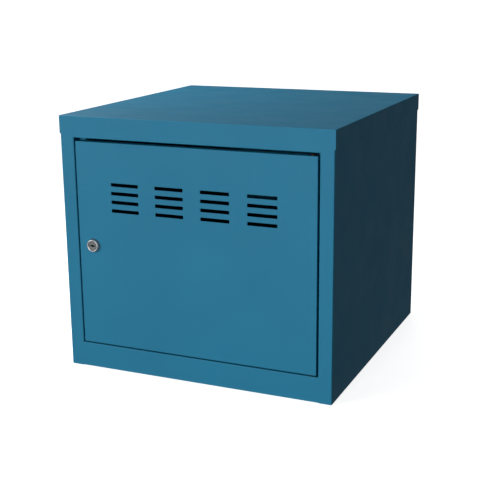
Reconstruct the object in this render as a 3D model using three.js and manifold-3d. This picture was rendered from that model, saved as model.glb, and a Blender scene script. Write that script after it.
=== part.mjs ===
// A single-compartment steel locker cube: a folded and welded sheet-metal cabinet, an inset
// ventilated door that turns on two pivot pins, and a cam lock whose lever catches behind the
// frame. Millimetres, +Z up, door on the -Y side. The origin is on the floor under the middle of
// the whole object, lock included.

import * as THREE from "three";
import { mergeVertices } from "three/addons/utils/BufferGeometryUtils.js";
import Module from "manifold-3d";

const wasm = await Module();
wasm.setup();

// ---------------------------------------------------------------- driving dimensions

const sheet = 1; // thickness of every folded panel
const bend = 1.5; // radius on the outside of a fold
const seam = 0.2; // gap between two sheets that lap, or two pieces that touch
const clearance = 0.3; // gap round anything that passes through a hole or turns in one

const cabinet = {
  width: 415,
  depth: 422,
  height: 376,
  topRail: 31, // front rail folded down from the top cover
  railDrop: 5, // the rail reaches this much below the cover's other flanges
  railReturn: 16, // fold at the lower edge of the top rail
  railLip: 8, // upstand at the back of that fold
  bottomRail: 37, // front rail under the door
  floorStep: 10, // the floor stands this much above the bottom rail, as a stop for the door
  leftStile: 23, // frame beside the door, on the lock side
  rightStile: 21, // frame beside the door, on the hinge side
  leftStop: 10, // strike flange behind the door's free edge
  rightStop: 7, // flange behind the door's hinge edge
  rearFlange: 14, // flanges that the back panel is riveted to
  footFlange: 14, // inward flanges that the cabinet stands on
  floorFlange: 20, // flanges that fix the floor to the walls and the back
};

const door = {
  thickness: 13,
  gapLeft: 2.2,
  gapRight: 2.8,
  gapBottom: 2,
  gapTop: 4.8, // room to hang the door on its lower pin before the upper pin goes in
  lip: 9, // inward lip round the back of the door
};

const vents = {
  columns: 4,
  rows: 4,
  length: 43.5,
  height: 5,
  pitchX: 70,
  pitchZ: 12.6,
  fromTop: 59.4, // door's top edge to the middle of the first row
};

const stiffener = { ventMargin: 1.25, flange: 6, depth: 8, endGap: 6 };

const pivot = {
  fromEdge: 8, // axis to the door's hinge edge
  fromFace: 6, // axis to the door's face
  swingClearance: 0.4, // between the door's turning heel and the frame behind it
  pinRadius: 2.4,
  tipChamfer: 0.8,
  headOverhang: 2,
  headHeight: 2.4,
  reach: 9, // how far each pin goes into the door
  bushWall: 0.9,
  bushFlange: 1, // overhang of the bush's flange
  bushLength: 5,
};

const lock = {
  fromEdge: 23.2, // axis to the door's free edge
  aboveMiddle: 0.8, // axis to the middle of the cabinet's height
  proud: 4.5, // face of the lock in front of the door
  barrelRadius: 9,
  flangeOverhang: 1.5,
  flangeEdge: 1.2,
  faceTaper: 1.7, // the flange narrows by this much towards its face
  barrelGap: 3.75, // end of the barrel to the lever
  plugRadius: 6.3,
  plugRecess: 0.6,
  keySlotLength: 8.4,
  keySlotWidth: 1.8,
  keyBitWidth: 3.2, // the wider middle of the keyway
  keyDepth: 9,
  nutWall: 1.7, // thinnest part of the nut
  nutHeight: 3,
  tailSquare: 7, // square end of the plug, which turns the lever
  leverGap: 0.7, // lever to the back of the strike flange
  leverLength: 32, // axis to the tip
  leverWidth: 15,
  leverThickness: 2,
  washerRadius: 6,
  washerThickness: 1,
  screwRadius: 2,
  screwHeadRadius: 4.2,
  screwHeadHeight: 2.6,
  screwLength: 7, // shank in the plug's tail
  driveWidth: 1.2, // slot across the screw's head
};

const bumper = { radius: 4, fromEnd: 42 };

const rivet = {
  radius: 2,
  headRadius: 4,
  headEdgeRadius: 3.2,
  headHeight: 0.9,
  tailRadius: 2.9,
  tailTipRadius: 2,
  tailHeight: 3,
  perSide: 4,
  alongBottom: 3,
  fromEnd: 34, // first and last rivet of a row to the end of its flange
};

const wallHole = { radius: 4, fromSide: 60, fromTop: 62, fromBottom: 90 };

const roundSegments = 32;
const foldSteps = 3; // facets in each fold
const grid = 0.0005; // coordinates are rounded to this before solids are joined or cut

// ---------------------------------------------------------------- places worked out from them

const front = -cabinet.depth / 2;
const rear = cabinet.depth / 2;
const coverHalf = cabinet.width / 2;
const wallOuter = coverHalf - sheet - seam; // the cover's flanges lap over the side walls
const wallInner = wallOuter - sheet;
const wallTop = cabinet.height - sheet - seam;
const backOuter = rear - sheet - seam; // and over the back panel
const backInner = backOuter - sheet;
const wallRear = backInner - seam;

const openingLeft = -coverHalf + cabinet.leftStile;
const openingRight = coverHalf - cabinet.rightStile;
const openingTop = cabinet.height - cabinet.topRail;
const openingBottom = cabinet.bottomRail;
const floorTop = openingBottom + cabinet.floorStep;
const flangeBottom = openingTop + cabinet.railDrop;

const doorLeft = openingLeft + door.gapLeft;
const doorRight = openingRight - door.gapRight;
const doorBottom = openingBottom + door.gapBottom;
const doorTop = openingTop - door.gapTop;
const doorMiddle = (doorLeft + doorRight) / 2;
const doorBack = front + door.thickness;

const hingeX = doorRight - pivot.fromEdge;
const hingeY = front + pivot.fromFace;
const heelSwing = Math.hypot(pivot.fromEdge, door.thickness - pivot.fromFace);
const stopFace = hingeY + heelSwing + pivot.swingClearance; // front of the flanges behind the door
const stopBack = stopFace + sheet;
const bushRadius = pivot.pinRadius + clearance + pivot.bushWall;

const lockX = doorLeft + lock.fromEdge;
const lockZ = cabinet.height / 2 + lock.aboveMiddle;
const lockFace = front - lock.proud;
const leverFront = stopBack + lock.leverGap;
const leverBack = leverFront + lock.leverThickness;
const barrelEnd = leverFront - lock.barrelGap;
const flangeRadius = lock.barrelRadius + lock.flangeOverhang;

// ---------------------------------------------------------------- materials

const paint = new THREE.MeshStandardMaterial({ color: 0x27789a, roughness: 0.45, metalness: 0 });
const chrome = new THREE.MeshStandardMaterial({ color: 0xc4c6c8, roughness: 0.18, metalness: 1 });
const zinc = new THREE.MeshStandardMaterial({ color: 0xa9abaa, roughness: 0.4, metalness: 1 });
const nylon = new THREE.MeshStandardMaterial({ color: 0x1c1c1d, roughness: 0.5, metalness: 0 });
const rubber = new THREE.MeshStandardMaterial({ color: 0x1c1c1e, roughness: 0.85, metalness: 0 });

// ---------------------------------------------------------------- solids

// A closed three.js geometry as a manifold solid. Its coordinates are rounded to a fine grid, so
// that faces meant to be flush are flush. Collapsed triangles, such as a lathe makes where its
// outline meets the axis, are left out, and a surface that faces in is turned round.
function solidOf(geometry) {
  const bare = geometry.clone();
  bare.deleteAttribute("normal");
  bare.deleteAttribute("uv");
  const positions = bare.attributes.position.array;
  positions.forEach((value, i) => { positions[i] = Math.round(value / grid) * grid; });
  const merged = mergeVertices(bare, grid);
  const faces = [];
  for (let i = 0; i < merged.index.count; i += 3) {
    const [a, b, c] = [0, 1, 2].map((corner) => merged.index.getX(i + corner));
    if (a !== b && b !== c && c !== a) faces.push([a, b, c]);
  }
  const build = (triangles) => new wasm.Manifold(new wasm.Mesh({
    numProp: 3,
    vertProperties: merged.attributes.position.array,
    triVerts: new Uint32Array(triangles.flat()),
  }));
  const solid = build(faces);
  return solid.volume() > 0 ? solid : build(faces.map(([a, b, c]) => [a, c, b]));
}

function geometryOf(solid) {
  const mesh = solid.getMesh();
  const geometry = new THREE.BufferGeometry();
  geometry.setAttribute("position", new THREE.BufferAttribute(mesh.vertProperties, 3));
  geometry.setIndex(new THREE.BufferAttribute(mesh.triVerts, 1));
  geometry.computeVertexNormals();
  return geometry;
}

function join(...solids) {
  return solids.reduce((sum, next) => sum.add(next));
}

function cut(solid, ...tools) {
  return tools.reduce((left, tool) => left.subtract(tool), solid);
}

function block([x0, x1], [y0, y1], [z0, z1]) {
  const geometry = new THREE.BoxGeometry(x1 - x0, y1 - y0, z1 - z0);
  return solidOf(geometry.translate((x0 + x1) / 2, (y0 + y1) / 2, (z0 + z1) / 2));
}

// A closed outline of (radius, height) points, turned about +Y.
function turned(outline) {
  const points = [...outline, outline[0]].map(([radius, height]) => new THREE.Vector2(radius, height));
  return solidOf(new THREE.LatheGeometry(points, roundSegments));
}

// A round bar about +Y, from one height to another.
function bar(radius, y0, y1) {
  const geometry = new THREE.CylinderGeometry(radius, radius, y1 - y0, roundSegments);
  return solidOf(geometry.translate(0, (y0 + y1) / 2, 0));
}

// The same solid with +Y turned up to +Z.
function upright(solid) {
  return solidOf(geometryOf(solid).rotateX(Math.PI / 2));
}

function moved(solid, x, y, z) {
  return solidOf(geometryOf(solid).translate(x, y, z));
}

function extruded(shape, length) {
  return new THREE.ExtrudeGeometry(shape, { depth: length, bevelEnabled: false });
}

// A (y, z) outline run along X.
function alongX(shape, [x0, x1]) {
  const geometry = extruded(shape, x1 - x0).rotateX(Math.PI / 2).rotateZ(Math.PI / 2);
  return solidOf(geometry.translate(x0, 0, 0));
}

// An (x, z) outline run along Y.
function alongY(shape, [y0, y1]) {
  return solidOf(extruded(shape, y1 - y0).rotateX(Math.PI / 2).translate(0, y1, 0));
}

// An (x, y) outline run up Z.
function alongZ(shape, [z0, z1]) {
  return solidOf(extruded(shape, z1 - z0).translate(0, 0, z0));
}

// The arc that replaces a square corner, as points from the incoming side to the outgoing one.
function cornerArc(before, corner, after, radius) {
  if (radius <= 0) return [corner];
  const back = before.clone().sub(corner).normalize();
  const ahead = after.clone().sub(corner).normalize();
  const centre = corner.clone().addScaledVector(back, radius).addScaledVector(ahead, radius);
  return Array.from({ length: foldSteps + 1 }, (_, step) => {
    const angle = ((step / foldSteps) * Math.PI) / 2;
    return centre.clone()
      .addScaledVector(ahead, -radius * Math.cos(angle))
      .addScaledVector(back, -radius * Math.sin(angle));
  });
}

// The cross-section of a folded sheet with square folds. The corners lie on the face that shows,
// which is on the right of the line as it is walked, and the thickness goes to the left.
function foldedSection(corners) {
  const shown = corners.map(([u, v]) => new THREE.Vector2(u, v));
  const last = shown.length - 1;
  const leftOf = (i) => {
    const along = shown[i + 1].clone().sub(shown[i]).normalize();
    return new THREE.Vector2(-along.y, along.x);
  };
  const hidden = shown.map((point, i) => {
    const shift = new THREE.Vector2();
    if (i > 0) shift.add(leftOf(i - 1));
    if (i < last) shift.add(leftOf(i));
    return point.clone().addScaledVector(shift, sheet);
  });
  const walk = (line, innerSign) => line.flatMap((corner, i) => {
    if (i === 0 || i === last) return [corner];
    const turn = leftOf(i - 1).cross(leftOf(i)) * innerSign;
    return cornerArc(line[i - 1], corner, line[i + 1], turn > 0 ? bend : bend - sheet);
  });
  return new THREE.Shape([...walk(shown, 1), ...walk(hidden, -1).reverse()]);
}

function roundedRectangle([u0, u1], [v0, v1], radius) {
  const corners = [[u0, v0], [u1, v0], [u1, v1], [u0, v1]].map(([u, v]) => new THREE.Vector2(u, v));
  return new THREE.Shape(corners.flatMap((corner, i) =>
    cornerArc(corners[(i + 3) % 4], corner, corners[(i + 1) % 4], radius)));
}

function meshOf(name, solid, material) {
  const mesh = new THREE.Mesh(geometryOf(solid), material);
  mesh.name = name;
  return mesh;
}

// ---------------------------------------------------------------- cabinet

function spread(first, last, count) {
  return Array.from({ length: count }, (_, i) => first + (i * (last - first)) / (count - 1));
}

// Where the rivets go through the back: up each side flange, and along the floor's rear flange.
function rivetPlaces() {
  const sideX = wallOuter - cabinet.rearFlange / 2;
  const bottomX = wallOuter - cabinet.rearFlange - rivet.fromEnd;
  const bottomZ = floorTop - cabinet.floorFlange / 2;
  const heights = spread(floorTop + rivet.fromEnd, flangeBottom - rivet.fromEnd, rivet.perSide);
  return [
    ...heights.map((z, i) => ({ name: `back_rivet_left_${i + 1}`, x: -sideX, z })),
    ...heights.map((z, i) => ({ name: `back_rivet_right_${i + 1}`, x: sideX, z })),
    ...spread(-bottomX, bottomX, rivet.alongBottom)
      .map((x, i) => ({ name: `back_rivet_bottom_${i + 1}`, x, z: bottomZ })),
  ];
}

function rivetHoles() {
  const hole = bar(rivet.radius + clearance, wallRear - 2 * sheet, rear);
  return rivetPlaces().map(({ x, z }) => moved(hole, x, 0, z));
}

function pivotHole(middleZ) {
  const hole = upright(bar(pivot.pinRadius + clearance, middleZ - 2 * sheet, middleZ + 2 * sheet));
  return moved(hole, hingeX, hingeY, 0);
}

// An upside-down tray. Its front flange is the frame's top rail, folded back under itself.
function topCover() {
  const tray = cut(
    block([-coverHalf, coverHalf], [front, rear], [flangeBottom, cabinet.height]),
    block(
      [-coverHalf + sheet, coverHalf - sheet],
      [front + sheet, rear - sheet],
      [flangeBottom - sheet, cabinet.height - sheet],
    ),
  );
  const railSection = foldedSection([
    [front, cabinet.height - sheet],
    [front, openingTop],
    [front + cabinet.railReturn, openingTop],
    [front + cabinet.railReturn, openingTop + cabinet.railLip],
  ]);
  const railHalf = wallInner - seam;
  const rail = alongX(railSection, [-railHalf, railHalf]);
  const railEnd = [front, front + sheet];
  const railEndZ = [openingTop, flangeBottom + sheet];
  const leftEnd = block([-coverHalf, -railHalf + sheet], railEnd, railEndZ);
  const rightEnd = block([railHalf - sheet, coverHalf], railEnd, railEndZ);
  return cut(join(tray, rail, leftEnd, rightEnd), pivotHole(openingTop));
}

// One side, drawn as the right one: wall, stile, jamb, stop flange and rear flange folded from a
// single sheet, with an inward foot along its lower edge.
function sidePanel(stile, stopWidth) {
  const jamb = coverHalf - stile;
  const stopEdge = jamb - stopWidth;
  const section = foldedSection([
    [stopEdge, stopFace],
    [jamb, stopFace],
    [jamb, front],
    [wallOuter, front],
    [wallOuter, wallRear],
    [wallOuter - cabinet.rearFlange, wallRear],
  ]);
  const panel = alongZ(section, [0, wallTop]);
  const foot = block(
    [wallOuter - cabinet.footFlange, wallInner + sheet / 2],
    [stopBack + bend, wallRear - sheet / 2],
    [0, sheet],
  );
  const beyond = sheet; // how far a cutting block runs past the sheet that it cuts
  const stileTop = openingTop - seam;
  const frameDepth = [front - beyond, stopBack + seam];
  const topNotch = block([stopEdge - beyond, wallInner], frameDepth, [stileTop, wallTop + beyond]);
  const coverNotch = block(
    [wallInner - beyond, wallOuter + beyond],
    [front - beyond, front + sheet + seam],
    [stileTop, wallTop + beyond],
  );
  const jambNotch = block(
    [stopEdge - beyond, jamb + bend + seam],
    [front + sheet + seam, stopBack + seam],
    [-beyond, openingBottom + seam],
  );
  const stopNotch = block(
    [stopEdge - beyond, jamb - seam],
    [stopFace - seam, stopBack + seam],
    [-beyond, floorTop + seam],
  );
  return cut(join(panel, foot), topNotch, coverNotch, jambNotch, stopNotch, ...rivetHoles());
}

// The floor, with the bottom rail folded down at its front and flanges on its other three edges.
function bottomPanel() {
  const railX = [openingLeft + seam, openingRight - seam];
  const wideFront = stopBack + bend + seam;
  const wideRear = wallRear - sheet - seam;
  const floorHalf = wallInner - seam;
  const rearHalf = wallOuter - cabinet.rearFlange - seam;
  const flangeZ = [floorTop - cabinet.floorFlange, floorTop];
  const floorZ = [floorTop - sheet, floorTop];
  const railSection = foldedSection([
    [wideFront + sheet, floorTop],
    [stopFace, floorTop],
    [stopFace, openingBottom],
    [front, openingBottom],
    [front, 0],
    [front + cabinet.footFlange, 0],
  ]);
  return cut(
    join(
      alongX(railSection, railX),
      block([-floorHalf, floorHalf], [wideFront, wideRear], floorZ),
      block([-floorHalf, -floorHalf + sheet], [wideFront, wideRear], flangeZ),
      block([floorHalf - sheet, floorHalf], [wideFront, wideRear], flangeZ),
      block([-rearHalf, rearHalf], [wideRear - sheet, wallRear], floorZ),
      block([-rearHalf, rearHalf], [wallRear - sheet, wallRear], flangeZ),
    ),
    pivotHole(openingBottom),
    ...rivetHoles(),
  );
}

function backPanel() {
  const panel = block([-wallOuter, wallOuter], [backInner, backOuter], [0, wallTop]);
  const hole = bar(wallHole.radius, backInner - sheet, backOuter + sheet);
  const holes = [-1, 1].flatMap((side) =>
    [wallHole.fromBottom, cabinet.height - wallHole.fromTop].map((z) =>
      moved(hole, side * (coverHalf - wallHole.fromSide), 0, z)));
  return cut(panel, ...rivetHoles(), ...holes);
}

// A blind rivet about +Y: flat head outside the back panel, upset tail behind the flange.
function blindRivet() {
  const headSeat = backOuter + seam / 2;
  const tailSeat = wallRear - sheet - seam / 2;
  return turned([
    [0, tailSeat - rivet.tailHeight],
    [rivet.tailTipRadius, tailSeat - rivet.tailHeight],
    [rivet.tailRadius, tailSeat - rivet.tailHeight / 2],
    [rivet.tailRadius, tailSeat],
    [rivet.radius, tailSeat],
    [rivet.radius, headSeat],
    [rivet.headRadius, headSeat],
    [rivet.headEdgeRadius, headSeat + rivet.headHeight],
    [0, headSeat + rivet.headHeight],
  ]);
}

// A headed pin about +Z. The head is at the first height and the chamfered tip at the second.
function pivotPin(headZ, tipZ) {
  const toTip = Math.sign(tipZ - headZ);
  const headRadius = pivot.pinRadius + pivot.headOverhang;
  return upright(turned([
    [0, headZ],
    [headRadius, headZ],
    [headRadius, headZ + toTip * pivot.headHeight],
    [pivot.pinRadius, headZ + toTip * pivot.headHeight],
    [pivot.pinRadius, tipZ - toTip * pivot.tipChamfer],
    [pivot.pinRadius - pivot.tipChamfer, tipZ],
    [0, tipZ],
  ]));
}

// The lower pin's head is under the bottom rail's fold, and the upper one's rests on the top rail's.
function lowerPin() {
  return pivotPin(openingBottom - sheet - seam - pivot.headHeight, doorBottom + pivot.reach);
}

function upperPin() {
  return pivotPin(openingTop + sheet + seam + pivot.headHeight, doorTop - pivot.reach);
}

function doorBumper() {
  return bar(bumper.radius, doorBack + clearance, stopFace - seam);
}

// ---------------------------------------------------------------- door

function ventCutters() {
  const columns = spread(-1, 1, vents.columns).map((u) => (u * vents.pitchX * (vents.columns - 1)) / 2);
  const rows = Array.from({ length: vents.rows }, (_, row) => doorTop - vents.fromTop - row * vents.pitchZ);
  return columns.flatMap((column) => rows.map((z) => {
    const x = doorMiddle + column;
    return block(
      [x - vents.length / 2, x + vents.length / 2],
      [front - sheet, front + 2 * sheet],
      [z - vents.height / 2, z + vents.height / 2],
    );
  }));
}

// A shallow pan with its edges folded back, and an inward lip behind them.
function doorPanel() {
  const x = [doorLeft, doorRight];
  const z = [doorBottom, doorTop];
  const inset = ([low, high], by) => [low + by, high - by];
  const pan = alongY(roundedRectangle(x, z, bend), [front, doorBack]);
  const hollowOutline = roundedRectangle(inset(x, sheet), inset(z, sheet), bend - sheet);
  const hollow = alongY(hollowOutline, [front + sheet, doorBack - sheet]);
  const mouth = block(inset(x, door.lip), [doorBack - 2 * sheet, doorBack + sheet], inset(z, door.lip));
  const lockBore = bar(lock.barrelRadius + clearance, front - sheet, front + 2 * sheet);
  const lockHole = moved(lockBore, lockX, 0, lockZ);
  const bushHole = upright(bar(bushRadius + clearance, doorBottom - sheet, doorTop + sheet));
  return cut(pan, hollow, mouth, lockHole, moved(bushHole, hingeX, hingeY, 0), ...ventCutters());
}

// A hat-shaped channel that stands upright in the pan, between the two middle columns of vents.
function doorStiffener() {
  const seat = front + sheet + seam;
  const half = (vents.pitchX - vents.length) / 2 - stiffener.ventMargin;
  const crownHalf = half - stiffener.flange;
  const section = foldedSection([
    [doorMiddle - half, seat],
    [doorMiddle - crownHalf, seat],
    [doorMiddle - crownHalf, seat + stiffener.depth],
    [doorMiddle + crownHalf, seat + stiffener.depth],
    [doorMiddle + crownHalf, seat],
    [doorMiddle + half, seat],
  ]);
  return alongZ(section, [doorBottom + stiffener.endGap, doorTop - stiffener.endGap]);
}

// A flanged bush about +Z in one edge of the door. Its flange keeps the door off the rail.
function hingeBush(edgeZ, outward) {
  const bore = pivot.pinRadius + clearance;
  const flangeFace = door.gapBottom - seam;
  const at = (distance) => edgeZ + outward * distance;
  return upright(turned([
    [bore, at(-pivot.bushLength)],
    [bushRadius, at(-pivot.bushLength)],
    [bushRadius, at(seam)],
    [bushRadius + pivot.bushFlange, at(seam)],
    [bushRadius + pivot.bushFlange, at(flangeFace)],
    [bore, at(flangeFace)],
  ]));
}

// ---------------------------------------------------------------- cam lock, about +Y

function lockHousing() {
  const bore = lock.plugRadius + clearance;
  const flangeSeat = front - seam / 2;
  return turned([
    [bore, lockFace],
    [flangeRadius - lock.faceTaper, lockFace],
    [flangeRadius, flangeSeat - lock.flangeEdge],
    [flangeRadius, flangeSeat],
    [lock.barrelRadius, flangeSeat],
    [lock.barrelRadius, barrelEnd],
    [bore, barrelEnd],
  ]);
}

function lockNut() {
  const seat = front + sheet + seam;
  const holeRadius = lock.barrelRadius + clearance;
  const cornerRadius = (holeRadius + lock.nutWall) / Math.cos(Math.PI / 6);
  const corner = (_, i) => {
    const angle = (i * Math.PI) / 3;
    return new THREE.Vector2(cornerRadius * Math.cos(angle), cornerRadius * Math.sin(angle));
  };
  const hexagon = new THREE.Shape(Array.from({ length: 6 }, corner));
  const hole = bar(holeRadius, seat - sheet, seat + lock.nutHeight + sheet);
  return cut(alongY(hexagon, [seat, seat + lock.nutHeight]), hole);
}

function centred(width) {
  return [-width / 2, width / 2];
}

function lockPlug() {
  const face = lockFace + lock.plugRecess;
  const keyway = [face - sheet, face + lock.keyDepth];
  const body = bar(lock.plugRadius, face, barrelEnd + seam);
  const tail = block(centred(lock.tailSquare), [barrelEnd, leverBack - seam], centred(lock.tailSquare));
  return cut(
    join(body, tail),
    block(centred(lock.keySlotLength), keyway, centred(lock.keySlotWidth)),
    block(centred(lock.keyBitWidth), keyway, centred(lock.keyBitWidth)),
    bar(lock.screwRadius + clearance, leverBack - lock.screwLength - clearance, leverBack + sheet),
  );
}

// The lever hangs straight down while the lock is open.
function lockLever() {
  const half = lock.leverWidth / 2;
  const shape = new THREE.Shape();
  shape.moveTo(-half, -lock.leverLength);
  shape.lineTo(half, -lock.leverLength);
  shape.absarc(0, 0, half, 0, Math.PI, false);
  shape.closePath();
  const square = centred(lock.tailSquare + 2 * clearance);
  return cut(
    alongY(shape, [leverFront, leverBack]),
    block(square, [leverFront - sheet, leverBack + sheet], square),
  );
}

function leverWasher() {
  const bore = lock.screwRadius + clearance;
  const start = leverBack + seam;
  return turned([
    [bore, start],
    [lock.washerRadius, start],
    [lock.washerRadius, start + lock.washerThickness],
    [bore, start + lock.washerThickness],
  ]);
}

function leverScrew() {
  const headStart = leverBack + lock.washerThickness + 2 * seam;
  const headEnd = headStart + lock.screwHeadHeight;
  const drive = block(
    centred(3 * lock.screwHeadRadius), [headEnd - sheet, headEnd + sheet], centred(lock.driveWidth),
  );
  const screw = turned([
    [0, leverBack - lock.screwLength],
    [lock.screwRadius, leverBack - lock.screwLength],
    [lock.screwRadius, headStart],
    [lock.screwHeadRadius, headStart],
    [lock.screwHeadRadius, headEnd],
    [0, headEnd],
  ]);
  return cut(screw, drive);
}

// ---------------------------------------------------------------- assembly

function placed(mesh, x, y, z) {
  mesh.position.set(x, y, z);
  return mesh;
}

function cabinetGroup() {
  const group = new THREE.Group();
  const left = meshOf("left_side_panel", sidePanel(cabinet.leftStile, cabinet.leftStop), paint);
  left.scale.x = -1;
  const right = meshOf("right_side_panel", sidePanel(cabinet.rightStile, cabinet.rightStop), paint);
  group.add(left, right);
  group.add(meshOf("top_cover", topCover(), paint));
  group.add(meshOf("bottom_panel", bottomPanel(), paint));
  group.add(meshOf("back_panel", backPanel(), paint));
  const rivetSolid = blindRivet();
  for (const { name, x, z } of rivetPlaces()) group.add(placed(meshOf(name, rivetSolid, paint), x, 0, z));
  group.add(placed(meshOf("lower_hinge_pin", lowerPin(), zinc), hingeX, hingeY, 0));
  group.add(placed(meshOf("upper_hinge_pin", upperPin(), zinc), hingeX, hingeY, 0));
  const bumperX = openingLeft + cabinet.leftStop / 2;
  const bumperHeights = [["lower", floorTop + bumper.fromEnd], ["upper", openingTop - bumper.fromEnd]];
  for (const [end, z] of bumperHeights)
    group.add(placed(meshOf(`${end}_door_bumper`, doorBumper(), rubber), bumperX, 0, z));
  return group;
}

function lockGroup() {
  const group = new THREE.Group();
  group.add(meshOf("lock_housing", lockHousing(), chrome), meshOf("lock_nut", lockNut(), zinc));
  group.add(meshOf("lock_plug", lockPlug(), chrome), meshOf("lock_lever", lockLever(), zinc));
  group.add(meshOf("lever_washer", leverWasher(), zinc), meshOf("lever_screw", leverScrew(), zinc));
  return placed(group, lockX, 0, lockZ);
}

function doorGroup() {
  const group = new THREE.Group();
  group.add(meshOf("door_panel", doorPanel(), paint), meshOf("door_stiffener", doorStiffener(), paint));
  group.add(placed(meshOf("lower_hinge_bush", hingeBush(doorBottom, -1), nylon), hingeX, hingeY, 0));
  group.add(placed(meshOf("upper_hinge_bush", hingeBush(doorTop, 1), nylon), hingeX, hingeY, 0));
  group.add(lockGroup());
  return group;
}

const locker = new THREE.Group();
locker.add(cabinetGroup(), doorGroup());
locker.position.y = lock.proud / 2; // puts the middle of the whole depth on the origin

const model = new THREE.Group();
model.add(locker);

export default model;
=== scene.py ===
# %% [markdown]
# # A ventilated steel locker cube
# The cabinet is folded from 1 mm sheet steel, welded at its corners and powder coated. Its door
# sits inside the frame, turns on two pins, and is locked by a cam lock. This lesson dresses the
# fixed frame of the part: every place comes from that frame, and each plain solid gets a finer
# piece with real folds, edges and finish.

import math

import bmesh
import bpy
from mathutils import Euler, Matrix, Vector


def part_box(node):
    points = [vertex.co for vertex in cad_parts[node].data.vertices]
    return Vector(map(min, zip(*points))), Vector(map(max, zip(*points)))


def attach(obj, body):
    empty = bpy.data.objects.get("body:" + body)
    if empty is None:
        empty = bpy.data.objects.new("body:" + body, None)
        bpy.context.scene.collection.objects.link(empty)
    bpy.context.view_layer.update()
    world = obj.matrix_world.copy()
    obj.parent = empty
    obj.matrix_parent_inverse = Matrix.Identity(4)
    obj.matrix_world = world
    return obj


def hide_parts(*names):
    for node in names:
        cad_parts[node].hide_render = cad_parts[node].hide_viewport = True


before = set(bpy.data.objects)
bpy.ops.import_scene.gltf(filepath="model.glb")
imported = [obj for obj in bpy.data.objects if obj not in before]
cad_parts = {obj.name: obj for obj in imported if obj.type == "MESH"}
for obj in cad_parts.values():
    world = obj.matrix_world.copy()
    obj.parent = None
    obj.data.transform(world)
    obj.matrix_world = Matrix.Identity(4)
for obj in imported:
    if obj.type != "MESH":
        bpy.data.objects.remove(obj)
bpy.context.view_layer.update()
scene = bpy.context.scene

# %% [markdown]
# ## Camera and studio
# A long lens stands a little above the cabinet and to its right, so that the front, the top and
# the right side show. A camera could track an empty, but that hides its roll. Here it is set by
# its place and by three angles: how far it is turned, how far it looks down, and a small roll.

# %% Camera
CAMERA_PLACE = (0.6140, -1.4255, 0.5679)
CAMERA_TURN = 23.969  # degrees, anticlockwise seen from above
CAMERA_DOWN = 14.674
CAMERA_ROLL = -0.603
LENS, SENSOR = 76.26, 36  # millimetres

camera_data = bpy.data.cameras.new("camera")
camera_data.lens = LENS
camera_data.sensor_width = SENSOR
camera = bpy.data.objects.new("camera", camera_data)
turn = Euler((0, 0, math.radians(CAMERA_TURN))).to_matrix()
tilt = Euler((math.radians(90 - CAMERA_DOWN), 0, 0)).to_matrix()
roll = Euler((0, 0, math.radians(CAMERA_ROLL))).to_matrix()
camera.rotation_euler = (turn @ tilt @ roll).to_euler()
camera.location = CAMERA_PLACE
scene.collection.objects.link(camera)
scene.camera = camera
scene.view_settings.view_transform = "Standard"
print("camera looks down", CAMERA_DOWN, "degrees")

# %% [markdown]
# ## Floor
# The floor is a plain sheet, pale and wide enough to reach the horizon. It could be a curved studio
# sweep, but that would show from behind. It shows to the camera and catches shadows, and it doesn't
# throw light back at the shaded side.

# %% Floor
def add_mesh(name, points, faces):
    mesh = bpy.data.meshes.new(name)
    mesh.from_pydata([tuple(point) for point in points], [], faces)
    mesh.validate()
    piece = bpy.data.objects.new(name, mesh)
    scene.collection.objects.link(piece)
    return piece


FLOOR_HALF = 45.0
FLOOR_DROP = 0.0002
floor_corners = [
    (x * FLOOR_HALF, y * FLOOR_HALF, -FLOOR_DROP)
    for x, y in ((-1, -1), (1, -1), (1, 1), (-1, 1))
]
floor = add_mesh("studio_floor", floor_corners, [(0, 1, 2, 3)])
floor.visible_diffuse = False
floor.visible_glossy = False
print("floor:", 2 * FLOOR_HALF, "m wide")

# %% [markdown]
# ## Lights
# A broad light in front and to the left and a narrower one nearly straight in front light the front
# evenly and leave the right side in shade. A smaller one hangs above the left edge, so the top
# falls off slowly to the right. A weak one behind shows the back. Suns are used where the light has
# to be even over the whole piece, and an area light where it has to fall off.

# %% Lights
def add_light(name, kind, place, aim, strength):
    data = bpy.data.lights.new(name, kind)
    data.energy = strength
    light = bpy.data.objects.new(name, data)
    light.location = place
    light.rotation_euler = (Vector(aim) - Vector(place)).to_track_quat("-Z", "Y").to_euler()
    scene.collection.objects.link(light)
    return light


def distant_light(name, turn, height, strength, spread=30):
    """A far light, turned to the left of straight in front and raised. Its spread is in degrees."""
    turn, height = math.radians(turn), math.radians(height)
    level = math.cos(height)
    place = Vector((-math.sin(turn) * level, -math.cos(turn) * level, math.sin(height)))
    light = add_light(name, "SUN", 4 * place, (0, 0, 0), strength)
    light.data.angle = math.radians(spread)
    return light


OVERHEAD_PLACE, OVERHEAD_AIM = (-0.78, 0.12, 1.02), (0, 0.05, 0.37)
OVERHEAD_SIDE = 0.55

distant_light("key", turn=46, height=9, strength=1.6)
distant_light("front_fill", turn=4, height=5, strength=1.6, spread=12)
rear_fill = distant_light("rear_fill", turn=165, height=14, strength=1.1)
rear_fill.visible_glossy = False  # its mirror image would wash out the top
overhead = add_light("overhead", "AREA", OVERHEAD_PLACE, OVERHEAD_AIM, 8.7)
overhead.data.shape = "RECTANGLE"
overhead.data.size = overhead.data.size_y = OVERHEAD_SIDE

# %% [markdown]
# ## Backdrop
# The backdrop is white wherever the camera looks, but a white room would light the shaded side too.
# So the world is split with a light path: full strength to the camera, and a low one to everything
# else.

# %% Backdrop
ROOM_LIGHT = 0.153

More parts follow.
